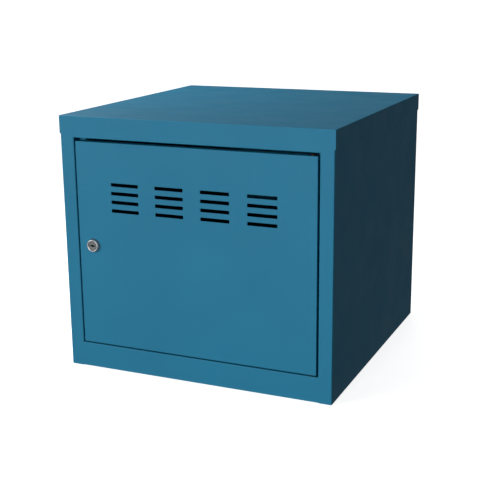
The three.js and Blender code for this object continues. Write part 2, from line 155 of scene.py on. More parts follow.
world = bpy.data.worlds.new("studio")
world.use_nodes = True
backdrop = world.node_tree.nodes["Background"]
backdrop.inputs["Color"].default_value = (1, 1, 1, 1)
seen = world.node_tree.nodes.new("ShaderNodeLightPath").outputs["Is Camera Ray"]
bright = world.node_tree.nodes.new("ShaderNodeMath")
bright.operation = "MAXIMUM"
bright.inputs[1].default_value = ROOM_LIGHT
world.node_tree.links.new(seen, bright.inputs[0])
world.node_tree.links.new(bright.outputs[0], backdrop.inputs["Strength"])
scene.world = world
print("room light:", ROOM_LIGHT)

# %% [markdown]
# ## Building node trees
# Materials and Geometry Nodes trees are built the same way: add a node, set its options, and
# either link or fill each input. One helper does that for both, so that a tree reads as a list of
# its nodes.

# %% A helper that adds one node
def add_node(tree, kind, links=None, **settings):
    node = tree.nodes.new(kind)
    for key, value in settings.items():
        setattr(node, key, value)
    for key, value in (links or {}).items():
        if isinstance(value, bpy.types.NodeSocket):
            tree.links.new(value, node.inputs[key])
        else:
            node.inputs[key].default_value = value
    return node


def new_material(name):
    material = bpy.data.materials.new(name)
    material.use_nodes = True
    tree = material.node_tree
    return material, tree, tree.nodes["Principled BSDF"]


print("node helpers:", add_node.__name__, new_material.__name__)

# %% [markdown]
# Four steps come back in every finish: a noise that reads a place, a blend of two colours, a value
# moved from one range to another, and a bump. They could be node groups, but as functions their
# numbers can be read where they are used.

# %% Helpers for finishes
def noise(tree, place, scale, detail):
    return add_node(tree, "ShaderNodeTexNoise", {"Vector": place, "Scale": scale, "Detail": detail})


def blend_colours(tree, first, second, amount):
    """Each colour is a value or a socket."""
    mix = add_node(tree, "ShaderNodeMix", data_type="RGBA")
    for index, value in ((0, amount), (6, first), (7, second)):
        if isinstance(value, bpy.types.NodeSocket):
            tree.links.new(value, mix.inputs[index])
        else:
            mix.inputs[index].default_value = value
    return mix.outputs[2]


def remap(tree, value, low, high, to_low=0.0, to_high=1.0):
    return add_node(tree, "ShaderNodeMapRange", {
        "Value": value, "From Min": low, "From Max": high,
        "To Min": to_low, "To Max": to_high}).outputs["Result"]


def bump(tree, height, strength, distance, below=None):
    links = {"Height": height, "Strength": strength, "Distance": distance}
    if below:
        links["Normal"] = below
    return add_node(tree, "ShaderNodeBump", links).outputs["Normal"]


print("finish helpers:", noise.__name__, blend_colours.__name__, remap.__name__, bump.__name__)

# %% [markdown]
# ## Powder coat
# Powder is sprayed on dry and baked until it flows. It keeps a fine orange peel, a slow waviness
# that shows in reflections, and tiny flecks of lighter and darker pigment. On a fold or a cut edge
# it is a little thinner, and it is painted lighter there in patches, a painted highlight. The peel is
# far too fine for geometry, so bump carries it.

# %% Powder coat
PAINT_COLOUR = (0.0125, 0.176, 0.304, 1)
# lighter colour for folds and cut edges: thinner paint, and a painted highlight
PAINT_EDGE_HIGHLIGHT = (0.017, 0.190, 0.318, 1)
PAINT_DARK = (0.0115, 0.160, 0.280, 1)
PAINT_ROUGHNESS = (0.48, 0.58)
PAINT_SHEEN = 0.2  # a matt powder mirrors little when seen straight on
FLECKS, PEEL, SMEARS, CLOUDS, WAVES = 1400.0, 520.0, 22.0, 9.0, 6.0  # lumps in a metre


def powder_coat(name):
    material, tree, shader = new_material(name)
    place = add_node(tree, "ShaderNodeTexCoord").outputs["Object"]
    fleck = noise(tree, place, FLECKS, 2.0).outputs["Fac"]
    cloud = noise(tree, place, CLOUDS, 4.0).outputs["Fac"]
    pigment = add_node(tree, "ShaderNodeMath", {0: fleck, 1: cloud}).outputs[0]
    tone = blend_colours(tree, PAINT_DARK, PAINT_COLOUR, remap(tree, pigment, 0.75, 1.25))
    fold = add_node(tree, "ShaderNodeAttribute", attribute_name="fold").outputs["Fac"]
    edge_patches = remap(tree, cloud, 0.35, 0.65, 0.35, 1.0)
    # folds and cut edges are blended towards the lighter colour in patches, a painted highlight
    thin_paint_highlight = add_node(tree, "ShaderNodeMath", {0: fold, 1: edge_patches}, operation="MULTIPLY").outputs[0]
    tree.links.new(blend_colours(tree, tone, PAINT_EDGE_HIGHLIGHT, thin_paint_highlight), shader.inputs["Base Color"])
    smear = noise(tree, place, SMEARS, 5.0).outputs["Fac"]
    tree.links.new(remap(tree, smear, 0.3, 0.7, *PAINT_ROUGHNESS), shader.inputs["Roughness"])
    wave = noise(tree, place, WAVES, 1.0).outputs["Fac"]
    peel = noise(tree, place, PEEL, 3.0).outputs["Fac"]
    slow = bump(tree, wave, strength=0.25, distance=0.002)
    fine = bump(tree, peel, strength=0.12, distance=0.0002, below=slow)
    tree.links.new(fine, shader.inputs["Normal"])
    shader.inputs["IOR"].default_value = 1.5
    shader.inputs["Specular IOR Level"].default_value = PAINT_SHEEN
    return material


paint = powder_coat("powder_coat")
print("paint:", paint.name)

# %% [markdown]
# ## Plated metals
# The lock's rim is chrome plated, and its plug has a duller, satin plating. Nut, lever, washer and
# screw are zinc plated, with the pale, cloudy patches of a cheap passivated finish. The hinge pins
# are zinc plated too, but dark with old grease. One recipe makes all four: a metal whose tone and
# gloss drift together.

# %% Plated metals
UNPLATED_SHADE = (0.006, 0.0055, 0.005, 1)  # painted shade deep in a narrow slot, where the plating doesn't reach either
METAL_GRAIN = 3000.0


def plated_metal(name, colour, dull, rough, marks):
    """marks is the number of cloudy patches in a metre."""
    material, tree, shader = new_material(name)
    place = add_node(tree, "ShaderNodeTexCoord").outputs["Object"]
    cloud = noise(tree, place, marks, 5.0).outputs["Fac"]
    # faces marked in a keyway are painted near black and matt, a painted shade
    shaded_keyway = add_node(tree, "ShaderNodeAttribute", attribute_name="unplated_shade").outputs["Fac"]
    tone = blend_colours(tree, dull, colour, cloud)
    tree.links.new(blend_colours(tree, tone, UNPLATED_SHADE, shaded_keyway), shader.inputs["Base Color"])
    gloss = remap(tree, cloud, 0.3, 0.7, rough + 0.12, rough)
    matt = add_node(tree, "ShaderNodeMath", {0: gloss, 1: shaded_keyway}, operation="MAXIMUM").outputs[0]
    tree.links.new(matt, shader.inputs["Roughness"])
    grain = noise(tree, place, METAL_GRAIN, 2.0).outputs["Fac"]
    tree.links.new(bump(tree, grain, strength=0.08, distance=0.0001), shader.inputs["Normal"])
    shader.inputs["Metallic"].default_value = 1.0
    return material


chrome = plated_metal("lock_chrome", (0.52, 0.54, 0.55, 1), (0.38, 0.40, 0.41, 1), 0.30, 260.0)
satin_chrome = plated_metal(
    "satin_chrome", (0.20, 0.21, 0.21, 1), (0.13, 0.14, 0.14, 1), 0.40, 300.0)
zinc = plated_metal("zinc_plate", (0.62, 0.63, 0.62, 1), (0.44, 0.45, 0.46, 1), 0.34, 420.0)
greased_zinc = plated_metal(
    "greased_zinc", (0.016, 0.016, 0.015, 1), (0.006, 0.006, 0.006, 1), 0.50, 300.0)
print("metals:", [metal.name for metal in (chrome, satin_chrome, zinc, greased_zinc)])

# %% [markdown]
# ## Nylon and rubber
# The bushes are black nylon and the bumpers matt rubber. Both are moulded, so they share a recipe
# with a fine grain from the mould, which also breaks up the gloss.

# %% Nylon and rubber
MOULD_CLOUDS = 180.0
MOULDED_SHEEN = 0.25


def moulded(name, colour, dull, rough, grain_scale, grain_depth):
    material, tree, shader = new_material(name)
    place = add_node(tree, "ShaderNodeTexCoord").outputs["Object"]
    cloud = noise(tree, place, MOULD_CLOUDS, 4.0).outputs["Fac"]
    tree.links.new(blend_colours(tree, dull, colour, cloud), shader.inputs["Base Color"])
    grain = noise(tree, place, grain_scale, 3.0).outputs["Fac"]
    tree.links.new(bump(tree, grain, strength=0.3, distance=grain_depth), shader.inputs["Normal"])
    gloss = remap(tree, grain, 0.0, 1.0, rough - 0.08, rough + 0.08)
    tree.links.new(gloss, shader.inputs["Roughness"])
    shader.inputs["Specular IOR Level"].default_value = MOULDED_SHEEN
    return material


nylon = moulded(
    "black_nylon", (0.010, 0.010, 0.011, 1), (0.006, 0.006, 0.007, 1), 0.55, 1500.0, 0.0001)
rubber = moulded(
    "bumper_rubber", (0.018, 0.018, 0.019, 1), (0.010, 0.010, 0.011, 1), 0.75, 2500.0, 0.0002)
print("moulded:", nylon.name, rubber.name)

# %% [markdown]
# ## Studio paper
# The floor glows a little, so that it stays as pale as the backdrop and still takes a soft shadow.

# %% Studio paper
floor_paper, _, floor_shader = new_material("studio_paper")
floor_shader.inputs["Base Color"].default_value = (0.86, 0.86, 0.86, 1)
floor_shader.inputs["Roughness"].default_value = 0.9
floor_shader.inputs["Emission Color"].default_value = (1, 1, 1, 1)
floor_shader.inputs["Emission Strength"].default_value = 0.82
floor.data.materials.append(floor_paper)
print("materials:", len(bpy.data.materials))

# %% [markdown]
# ## Finishing a piece
# Every piece ends the same way: its modifiers are turned into a plain mesh, its faces are made to
# point outwards, its smooth stretches are shaded smooth, and each face of a fold or a softened edge
# is marked, so that the paint can be thinner there and painted lighter, a painted highlight. Auto
# smoothing alone would shade the broad flat faces as if they were slightly curved beside their
# rounded edges, so weighted normals keep them flat.

# %% Settle and dress a piece
SMOOTH_UP_TO = math.radians(32)
DOUBLES_WITHIN = 1e-6
FLAT_FIRST = 100  # weight that lets the largest faces set the shading
FLAT_FACE = 0.9995  # a face this square to an axis is flat sheet, and any other is a fold or an edge


def settle(piece):
    """The piece with its modifiers turned into a plain mesh."""
    graph = bpy.context.evaluated_depsgraph_get()
    mesh = bpy.data.meshes.new_from_object(piece.evaluated_get(graph), depsgraph=graph)
    mesh.name = piece.name
    piece.modifiers.clear()
    piece.data = mesh
    return piece


def dress(piece, material):
    mesh = piece.data
    work = bmesh.new()
    work.from_mesh(mesh)
    bmesh.ops.remove_doubles(work, verts=work.verts, dist=DOUBLES_WITHIN)
    bmesh.ops.recalc_face_normals(work, faces=work.faces)
    work.to_mesh(mesh)
    work.free()
    mesh.materials.clear()
    mesh.materials.append(material)
    for face in mesh.polygons:
        face.material_index = 0
    mesh.shade_smooth()
    mesh.set_sharp_from_angle(angle=SMOOTH_UP_TO)
    normals = piece.modifiers.new("flat_faces_stay_flat", "WEIGHTED_NORMAL")
    normals.weight = FLAT_FIRST
    normals.keep_sharp = True
    mesh = settle(piece).data
    # fold and edge faces are marked, and the paint gives them a painted highlight
    marks = mesh.attributes.new("fold", "FLOAT", "FACE")
    flat = [max(abs(part) for part in face.normal) > FLAT_FACE for face in mesh.polygons]
    marks.data.foreach_set("value", [0.0 if level else 1.0 for level in flat])
    return piece


print("a face is flat within", round(math.degrees(math.acos(FLAT_FACE)), 1), "degrees of an axis")

# %% [markdown]
# A dressed piece then rides on its body, and stands for its solid of the
# frame. Its open edges are counted, because a closed piece has none.

# %% Fit a piece to its body
def open_edges(piece):
    work = bmesh.new()
    work.from_mesh(piece.data)
    count = sum(1 for edge in work.edges if not edge.is_manifold)
    work.free()
    return count


def fit(piece, material, slot, body, *nodes):
    """Dresses a piece, makes it ride on its body, and lets it stand for its solids."""
    dress(piece, material)
    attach(piece, body)
    if nodes:
        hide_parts(*nodes)
    print(f"{piece.name}: {len(piece.data.polygons)} faces, {open_edges(piece)} open edges")
    return piece


# %% [markdown]
# ## Sizes shared by the sheet metal
# The frame gives the places of the walls, the cover and the door. Only what a box can't tell is
# named here: the sheet, its folds, the seams, the gaps and the widths of the flanges.

# %% Sheet-metal sizes
MM = 0.001
SHEET = 1.0 * MM
FOLD = 1.5 * MM  # outside radius of a fold
CRISP_FOLD = 0.8 * MM  # outside radius of the cover's and the door's pressed edges
SEAM = 0.2 * MM
JOINT = 0.03 * MM  # a welded and painted joint on the front is nearly closed
EDGE = 0.15 * MM  # softening of a cut edge
FAR = SHEET  # how far a cutter reaches past what it cuts
DOOR_GAP_LEFT, DOOR_GAP_RIGHT = 2.2 * MM, 2.8 * MM
TURNING_GAP = 0.3 * MM
COVER_FLANGE = 26 * MM
REAR_FLANGE = 14 * MM
FOOT_FLANGE = 14 * MM
FLOOR_FLANGE = 20 * MM

cover_low, cover_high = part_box("top_cover")
wall_low, wall_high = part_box("right_side_panel")
left_low, left_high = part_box("left_side_panel")
_, floor_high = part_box("bottom_panel")
back_low, back_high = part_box("back_panel")
door_low, door_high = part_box("door_panel")
_, bumper_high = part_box("upper_door_bumper")
bottom_bush_low, bottom_bush_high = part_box("lower_hinge_bush")
top_bush_low, top_bush_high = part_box("upper_hinge_bush")
pin_low, pin_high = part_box("upper_hinge_pin")

FRONT = cover_low.y
OPENING_TOP = cover_low.z
OPENING_BOTTOM = bottom_bush_low.z - SEAM
OPENING_LEFT = door_low.x - DOOR_GAP_LEFT
OPENING_RIGHT = door_high.x + DOOR_GAP_RIGHT
STOP_FACE = bumper_high.y + SEAM
WALL_REAR = wall_high.y
FLOOR_TOP = floor_high.z
PIN = ((pin_low.x + pin_high.x) / 2, (pin_low.y + pin_high.y) / 2)
print("opening:", round(OPENING_RIGHT - OPENING_LEFT, 4), "x", round(OPENING_TOP - OPENING_BOTTOM, 4))

# %% [markdown]
# ## Geometry Nodes from a script
# Each tree is started with its named inputs, and ends by making its copies real and setting their
# material, because an export drops anything that is only an instance. A modifier's input is set by
# its identifier, which a name can't stand for.

# %% Start, finish and run a tree
def new_geometry_tree(name, sockets):
    tree = bpy.data.node_groups.new(name, "GeometryNodeTree")
    tree.interface.new_socket("Geometry", in_out="INPUT", socket_type="NodeSocketGeometry")
    for label, kind in sockets:
        tree.interface.new_socket(label, in_out="INPUT", socket_type=kind)
    tree.interface.new_socket("Geometry", in_out="OUTPUT", socket_type="NodeSocketGeometry")
    given = tree.nodes.new("NodeGroupInput")
    return tree, given.outputs


def finish_tree(tree, geometry, material):
    real = add_node(tree, "GeometryNodeRealizeInstances", {"Geometry": geometry})
    painted = add_node(tree, "GeometryNodeSetMaterial", {
        "Geometry": real.outputs[0], "Material": material})
    result = tree.nodes.new("NodeGroupOutput")
    tree.links.new(painted.outputs[0], result.inputs[0])
    return tree


def run_tree(piece, tree, values):
    modifier = piece.modifiers.new(tree.name, "NODES")
    modifier.node_group = tree
    for item in tree.interface.items_tree:
        if item.in_out == "INPUT" and item.name in values:
            modifier[item.identifier] = values[item.name]
    return modifier


print("a tree is run by", run_tree.__name__)

# %% [markdown]
# ## Folding a sheet with Geometry Nodes
# A press brake folds a flat sheet along straight lines, so a folded panel follows a rule. It could
# be a box with a bevel on each edge, but every change of width would mean moving vertices. Draw its
# profile as straight lines instead, round each corner by the fold, and run the line along the
# panel: that is a sheet with no thickness, and Solidify gives it one. The tree rounds and runs the
# line. Its inputs are the radius of the fold, the number of facets in it, and the run.

# %% The folding tree
def folding_tree():
    tree, given = new_geometry_tree("fold_a_sheet", [
        ("Fold Radius", "NodeSocketFloat"),
        ("Fold Facets", "NodeSocketInt"),
        ("Run", "NodeSocketVector"),
        ("Finish", "NodeSocketMaterial"),
    ])
    line = add_node(tree, "GeometryNodeMeshToCurve", {"Mesh": given["Geometry"]})
    rounded = add_node(tree, "GeometryNodeFilletCurve", {
        "Curve": line.outputs[0], "Count": given["Fold Facets"],
        "Radius": given["Fold Radius"], "Limit Radius": True}, mode="POLY")
    wire = add_node(tree, "GeometryNodeCurveToMesh", {"Curve": rounded.outputs[0]})
    strip = add_node(tree, "GeometryNodeExtrudeMesh", {
        "Mesh": wire.outputs[0], "Offset": given["Run"], "Offset Scale": 1.0}, mode="EDGES")
    return finish_tree(tree, strip.outputs["Mesh"], given["Finish"])


fold_a_sheet = folding_tree()
print("tree:", fold_a_sheet.name)

# %% [markdown]
# The profile is given by the corners of the face that shows. The line that is folded runs down the
# middle of the sheet, so each corner is first moved in by half a thickness.

# %% Fold one panel
def middle_line(corners):
    points = [Vector(corner) for corner in corners]
    inward = []
    for a, b in zip(points, points[1:]):
        along = (b - a).normalized()
        inward.append(Vector((-along.y, along.x)))
    moved = []
    for i, point in enumerate(points):
        sides = inward[max(i - 1, 0):i + 1]
        moved.append(point + sum(sides, Vector((0, 0))) * SHEET / 2)
    return moved


def folded_panel(name, corners, place, run, radius=FOLD, facets=8):
    """corners are in the profile's plane, and place turns one into a point of the cabinet."""
    points = [place(corner) for corner in middle_line(corners)]
    mesh = bpy.data.meshes.new(name)
    mesh.from_pydata(points, [(i, i + 1) for i in range(len(points) - 1)], [])
    piece = bpy.data.objects.new(name, mesh)
    scene.collection.objects.link(piece)
    run_tree(piece, fold_a_sheet, {
        "Fold Radius": radius - SHEET / 2, "Fold Facets": facets, "Run": run, "Finish": paint})
    solid = piece.modifiers.new("thickness", "SOLIDIFY")
    solid.thickness = SHEET
    solid.offset = 0
    solid.use_even_offset = True
    return settle(piece)


print("middle of a square corner:", [tuple(point) for point in middle_line([(0, 0), (1, 0), (1, 1)])])

# %% [markdown]
# ## Cutting and joining
# Notches and holes are cut with plain blocks and bars, and flanges that a single fold can't make
# are joined on. The cutters are thrown away. After the cuts, every raw edge is given a small
# rounding, as deburring and paint do: the angle limit leaves the facets of a fold alone.

# %% Cutting, joining and softening
def add_block(name, low, high):
    x, y, z = zip(low, high)
    points = [(x[i & 1], y[i >> 1 & 1], z[i >> 2]) for i in range(8)]
    faces = [(0, 2, 3, 1), (4, 5, 7, 6), (0, 1, 5, 4), (2, 6, 7, 3), (0, 4, 6, 2), (1, 3, 7, 5)]
    return add_mesh(name, points, faces)


def combine(piece, others, operation):
    """Joins the others to the piece, or cuts them out of it, and then throws them away."""
    for other in others:
        step = piece.modifiers.new(operation.lower(), "BOOLEAN")
        step.operation = operation
        step.solver = "EXACT"
        step.object = other
    settle(piece)
    for other in others:
        bpy.data.objects.remove(other)
    return piece


SHARP_FROM = math.radians(50)  # a fold's facets meet at less than this


def soften(piece, width=EDGE, segments=2):
    """Rounds the cut edges."""
    bevel = piece.modifiers.new("softened_edges", "BEVEL")
    bevel.width = width
    bevel.segments = segments
    bevel.limit_method = "ANGLE"
    bevel.angle_limit = SHARP_FROM
    bevel.use_clamp_overlap = True
    return settle(piece)


print("cut edges are rounded by", EDGE / MM, "mm")

# %% [markdown]
# ## Rivet places
# The back panel is held by blind rivets through the rear flanges: four up each side and three along
# the bottom. Their places are worked out once, here, for the holes in three sheets and for the
# rivets that fill them.

# %% Rivet places
RIVETS_UP_A_SIDE, RIVETS_ALONG_BOTTOM = 4, 3
RIVET_HOLE = 2.3 * MM
side_rivet_low, side_rivet_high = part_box("back_rivet_right_1")
last_rivet_low, last_rivet_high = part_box("back_rivet_right_4")
end_rivet_low, end_rivet_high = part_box("back_rivet_bottom_3")
RIVET_SIDE_X = (side_rivet_low.x + side_rivet_high.x) / 2
RIVET_END_X = (end_rivet_low.x + end_rivet_high.x) / 2
RIVET_BOTTOM_Z = (end_rivet_low.z + end_rivet_high.z) / 2
RIVET_FIRST_Z, RIVET_LAST_Z = sorted(
    (low.z + high.z) / 2
    for low, high in ((side_rivet_low, side_rivet_high), (last_rivet_low, last_rivet_high)))


def spread(first, last, count):
    return [first + (last - first) * i / (count - 1) for i in range(count)]


side_rivets = [(RIVET_SIDE_X, z) for z in spread(RIVET_FIRST_Z, RIVET_LAST_Z, RIVETS_UP_A_SIDE)]
bottom_rivets = [(x, RIVET_BOTTOM_Z) for x in spread(-RIVET_END_X, RIVET_END_X, RIVETS_ALONG_BOTTOM)]
every_rivet = side_rivets + [(-x, z) for x, z in side_rivets] + bottom_rivets


print("rivets:", len(every_rivet))

# %% [markdown]
# Round holes are cut with bars of many sides. A primitive cylinder would have to be turned and
# moved, so the bar is made where it is needed, between two points on an axis.

# %% Round bars
def round_bar(name, radius, low, high, sides=48):
    """A round bar from low to high, which lie on one line along an axis."""
    axis = (Vector(high) - Vector(low)).normalized()
    across = axis.orthogonal().normalized()
    around = axis.cross(across)
    points = []
    for end in (low, high):
        for i in range(sides):
            angle = 2 * math.pi * i / sides
            out = math.cos(angle) * across + math.sin(angle) * around
            points.append(Vector(end) + radius * out)
    faces = [tuple(range(sides))[::-1], tuple(range(sides, 2 * sides))]
    faces += [(i, (i + 1) % sides, (i + 1) % sides + sides, i + sides) for i in range(sides)]
    return add_mesh(name, points, faces)


def rivet_cutters(places):
    start, end = WALL_REAR - 2 * SHEET, back_high.y + SHEET
    return [
        round_bar("rivet_hole", RIVET_HOLE, (x, start, z), (x, end, z), sides=24)
        for x, z in places
    ]


print("a rivet's hole is", 2 * RIVET_HOLE / MM, "mm wide")

# %% [markdown]
# ## Side panels
# Each side is one sheet: strike flange, jamb, stile, wall and rear flange. Notches clear the cover
# above and the floor below, and a foot flange runs inwards along the lower edge. The left panel is
# a mirror image with its own widths. A Mirror modifier would copy the widths too, so the same
# function makes both, and the left one's points and faces are turned over at the end.

# %% Side panels
def side_panel(name, side, jamb, stop_edge, outer):
    """side is 1 for the right and -1 for the left. The rest are distances from the middle."""
    inner = outer - SHEET
    corners = [
        (stop_edge, STOP_FACE), (jamb, STOP_FACE), (jamb, FRONT), (outer, FRONT),
        (outer, WALL_REAR), (outer - REAR_FLANGE, WALL_REAR),
    ]
    height = wall_high.z
    stile_top = cover_high.z - COVER_FLANGE - JOINT
    piece = folded_panel(name, corners, lambda corner: (corner.x, corner.y, 0), (0, 0, height))
    stop_back = STOP_FACE + SHEET
    stop_rear = stop_back + SEAM
    foot = add_block(
        "foot", (outer - FOOT_FLANGE, stop_back + FOLD, 0),
        (inner + SHEET / 2, WALL_REAR - SHEET / 2, SHEET))
    combine(piece, [foot], "UNION")
    notch_places = [
        ((stop_edge - FAR, FRONT - FAR, OPENING_TOP - JOINT), (jamb + FOLD, stop_rear, height + FAR)),
        ((jamb, FRONT - FAR, stile_top), (outer + FAR, FRONT + SHEET + SEAM, height + FAR)),
        ((stop_edge - FAR, FRONT - FAR, -FAR), (jamb + FOLD, stop_rear, OPENING_BOTTOM)),
        ((stop_edge - FAR, STOP_FACE - SEAM, -FAR), (jamb - SEAM, stop_rear, FLOOR_TOP + SEAM)),
    ]
    notches = [add_block("notch", low, high) for low, high in notch_places]
    combine(piece, notches + rivet_cutters(side_rivets), "DIFFERENCE")
    soften(piece)
    if side < 0:
        for vertex in piece.data.vertices:
            vertex.co.x = -vertex.co.x
        piece.data.flip_normals()
    return piece


right_side = side_panel("right_side", 1, OPENING_RIGHT, wall_low.x, wall_high.x)
left_side = side_panel("left_side", -1, -OPENING_LEFT, -left_high.x, -left_low.x)
fit(right_side, paint, "paint", "cabinet", "right_side_panel")
fit(left_side, paint, "paint", "cabinet", "left_side_panel")

# %% [markdown]
# ## Top cover
# The cover is a shallow tray turned upside down. A bevelled box would make it, but not the small
# radius inside its folds. A pressed tray is a stack of rectangles with rounded corners, each a
# little further in or down than the last, so it is built ring by ring, with an arc of rings at each
# fold. The door is made the same way.

# %% Rings that make a pressed tray
FOLD_RINGS = 6
LEAST_CORNER = 0.1 * MM
INSIDE_FOLD = 0.2 * MM


def arc(centre, radius, start, end, count=FOLD_RINGS):
    """Points of an arc in a tray's cross-section, as (inset, depth). Angles are in degrees."""
    points = []
    for i in range(count + 1):
        angle = math.radians(start + (end - start) * i / count)
        points.append((centre[0] + radius * math.cos(angle), centre[1] + radius * math.sin(angle)))
    return points


def corner_ring(low, high, radius, inset, count=5):
    """A rectangle with rounded corners, drawn inset from (low, high) and anticlockwise."""
    u0, v0 = low[0] + inset, low[1] + inset
    u1, v1 = high[0] - inset, high[1] - inset
    r = max(radius - inset, LEAST_CORNER)
    ring = []
    centres = ((u1 - r, v1 - r), (u0 + r, v1 - r), (u0 + r, v0 + r), (u1 - r, v0 + r))
    for first, (u, v) in zip((0, 90, 180, 270), centres):
        for i in range(count + 1):
            angle = math.radians(first + 90 * i / count)
            ring.append((u + r * math.cos(angle), v + r * math.sin(angle)))
    return ring


print("points in a ring:", len(corner_ring((0, 0), (1, 1), 0.1, 0)))

# %% [markdown]
# The rings are joined by faces, and the first and last are closed. What differs from tray to tray
# is its cross-section: how deep it is, and whether its wall ends in an inward lip.

# %% Join the rings
def pressed_tray(name, low, high, corner, section, place):
    """section lists (inset, depth) from the outer face round the wall to the inner face."""
    rings = [corner_ring(low, high, corner, inset) for inset, depth in section]
    size = len(rings[0])
    points = [place(u, v, depth) for ring, (inset, depth) in zip(rings, section) for u, v in ring]
    faces = [tuple(range(size))[::-1], tuple(range(len(points) - size, len(points)))]
    for i in range(len(rings) - 1):
        for j in range(size):
            a, b = i * size + j, i * size + (j + 1) % size
            faces.append((a, b, b + size, a + size))
    return add_mesh(name, points, faces)


def tray_section(depth, lip=0.0):
    """A tray's wall, with an inward lip round its rim if it has one."""
    outer, inner = CRISP_FOLD, INSIDE_FOLD
    section = arc((outer, outer), outer, 270, 180)
    if lip:
        section += arc((outer, depth - outer), outer, 180, 90)
        section += [(lip, depth), (lip, depth - SHEET)]
        section += arc((SHEET + inner, depth - SHEET - inner), inner, 90, 180)
    else:
        section += [(0, depth), (SHEET, depth)]
    return section + arc((SHEET + inner, SHEET + inner), inner, 180, 270)


print("rings in a plain tray:", len(tray_section(COVER_FLANGE)))

# %% [markdown]
# The cover's front flange is deeper than the others: it is the frame's top rail, and is folded back
# under itself. It is one more folded panel, joined to the tray, and is cut away where the stiles
# rise past it to meet the tray. The door's upper pin goes through it.

# %% Top cover
COVER_CORNER = 0.4 * MM
RAIL_RETURN = 16 * MM
RAIL_LIP = 8 * MM
RAIL_FOLD = 1.1 * MM
PIN_RADIUS = 2.4 * MM

cover = pressed_tray(
    "cover", cover_low.xy, cover_high.xy, COVER_CORNER, tray_section(COVER_FLANGE),
    lambda u, v, depth: (u, v, cover_high.z - depth))
rail_half = wall_high.x - SHEET - SEAM
rail = folded_panel(
    "rail",
    [(FRONT, cover_high.z - 3 * SHEET), (FRONT, OPENING_TOP), (FRONT + RAIL_RETURN, OPENING_TOP),
     (FRONT + RAIL_RETURN, OPENING_TOP + RAIL_LIP)],
    lambda corner: (-rail_half, corner.x, corner.y), (2 * rail_half, 0, 0), radius=RAIL_FOLD)
combine(cover, [rail], "UNION")
flange_edge = cover_high.z - COVER_FLANGE
stile_places = [
    add_block(
        "stile_place", (low, FRONT - SHEET, OPENING_TOP - SHEET),
        (high, FRONT + SHEET + JOINT, flange_edge))
    for low, high in (
        (cover_low.x - SHEET, OPENING_LEFT - FOLD + JOINT),
        (OPENING_RIGHT + FOLD - JOINT, cover_high.x + SHEET))
]
combine(cover, stile_places, "DIFFERENCE")
pin_hole = round_bar(
    "pin_hole", PIN_RADIUS + TURNING_GAP,
    (*PIN, OPENING_TOP - 2 * SHEET), (*PIN, OPENING_TOP + 2 * SHEET))
combine(cover, [pin_hole], "DIFFERENCE")
soften(cover)
fit(cover, paint, "paint", "cabinet", "top_cover")

# %% [markdown]
# ## Floor and bottom rail
# One sheet again: rear flange, floor, a step down that stops the door, the rail's return, the rail
# itself and a foot flange. The real blank has its corners cut off before it is folded. Here it is
# simpler to fold it at the floor's full width and then notch away what would run into the walls and
# stiles. Two side flanges are joined on.

# %% Floor and bottom rail
wide_front = STOP_FACE + SHEET + FOLD + SEAM
wide_rear = WALL_REAR - SHEET - SEAM
floor_half = floor_high.x
rear_half = wall_high.x - REAR_FLANGE - SEAM
base = folded_panel(
    "floor_and_rail",
    [(WALL_REAR, FLOOR_TOP - FLOOR_FLANGE), (WALL_REAR, FLOOR_TOP), (STOP_FACE, FLOOR_TOP),
     (STOP_FACE, OPENING_BOTTOM), (FRONT, OPENING_BOTTOM), (FRONT, 0), (FRONT + FOOT_FLANGE, 0)],
    lambda corner: (-floor_half, corner.x, corner.y), (2 * floor_half, 0, 0))
left_edge, right_edge = -floor_half - FAR, floor_half + FAR
above = FLOOR_TOP + FAR
notch_places = [
    ((left_edge, FRONT - FAR, -FAR), (OPENING_LEFT - FOLD + JOINT, wide_front, above)),
    ((OPENING_RIGHT + FOLD - JOINT, FRONT - FAR, -FAR), (right_edge, wide_front, above)),
    ((left_edge, FRONT - FAR, OPENING_BOTTOM), (OPENING_LEFT + SEAM, wide_front, above)),
    ((OPENING_RIGHT - SEAM, FRONT - FAR, OPENING_BOTTOM), (right_edge, wide_front, above)),
    ((left_edge, wide_rear, 0), (-rear_half, WALL_REAR + FAR, above)),
    ((rear_half, wide_rear, 0), (right_edge, WALL_REAR + FAR, above)),
]
notches = [add_block("notch", low, high) for low, high in notch_places]
notches.append(round_bar(
    "pin_hole", PIN_RADIUS + TURNING_GAP,
    (*PIN, OPENING_BOTTOM - 2 * SHEET), (*PIN, OPENING_BOTTOM + FAR)))
combine(base, notches, "DIFFERENCE")
side_flanges = [
    add_block(
        "side_flange",
        (min(side * floor_half, side * (floor_half - SHEET)), wide_front, FLOOR_TOP - FLOOR_FLANGE),
        (max(side * floor_half, side * (floor_half - SHEET)), wide_rear, FLOOR_TOP - SHEET / 2))
    for side in (-1, 1)
]
combine(base, side_flanges, "UNION")
combine(base, rivet_cutters(bottom_rivets), "DIFFERENCE")
soften(base)
fit(base, paint, "paint", "cabinet", "bottom_panel")

# %% [markdown]
# ## Back panel
# A flat sheet with four holes for wall screws. A sheet this wide is never quite flat. That could be
# a displaced grid, but the paint's slow waviness already shows it, so one block is enough.

# %% Back panel
WALL_HOLE = dict(radius=4 * MM, from_side=60 * MM, from_top=62 * MM, from_bottom=90 * MM)
back = add_block("back", back_low, back_high)
hole_x = cover_high.x - WALL_HOLE["from_side"]
wall_holes = [
    round_bar("wall_hole", WALL_HOLE["radius"], (x, back_low.y - FAR, z), (x, back_high.y + FAR, z))
    for x in (-hole_x, hole_x) for z in (WALL_HOLE["from_bottom"], cover_high.z - WALL_HOLE["from_top"])
]
combine(back, wall_holes + rivet_cutters(every_rivet), "DIFFERENCE")
soften(back)
fit(back, paint, "paint", "cabinet", "back_panel")

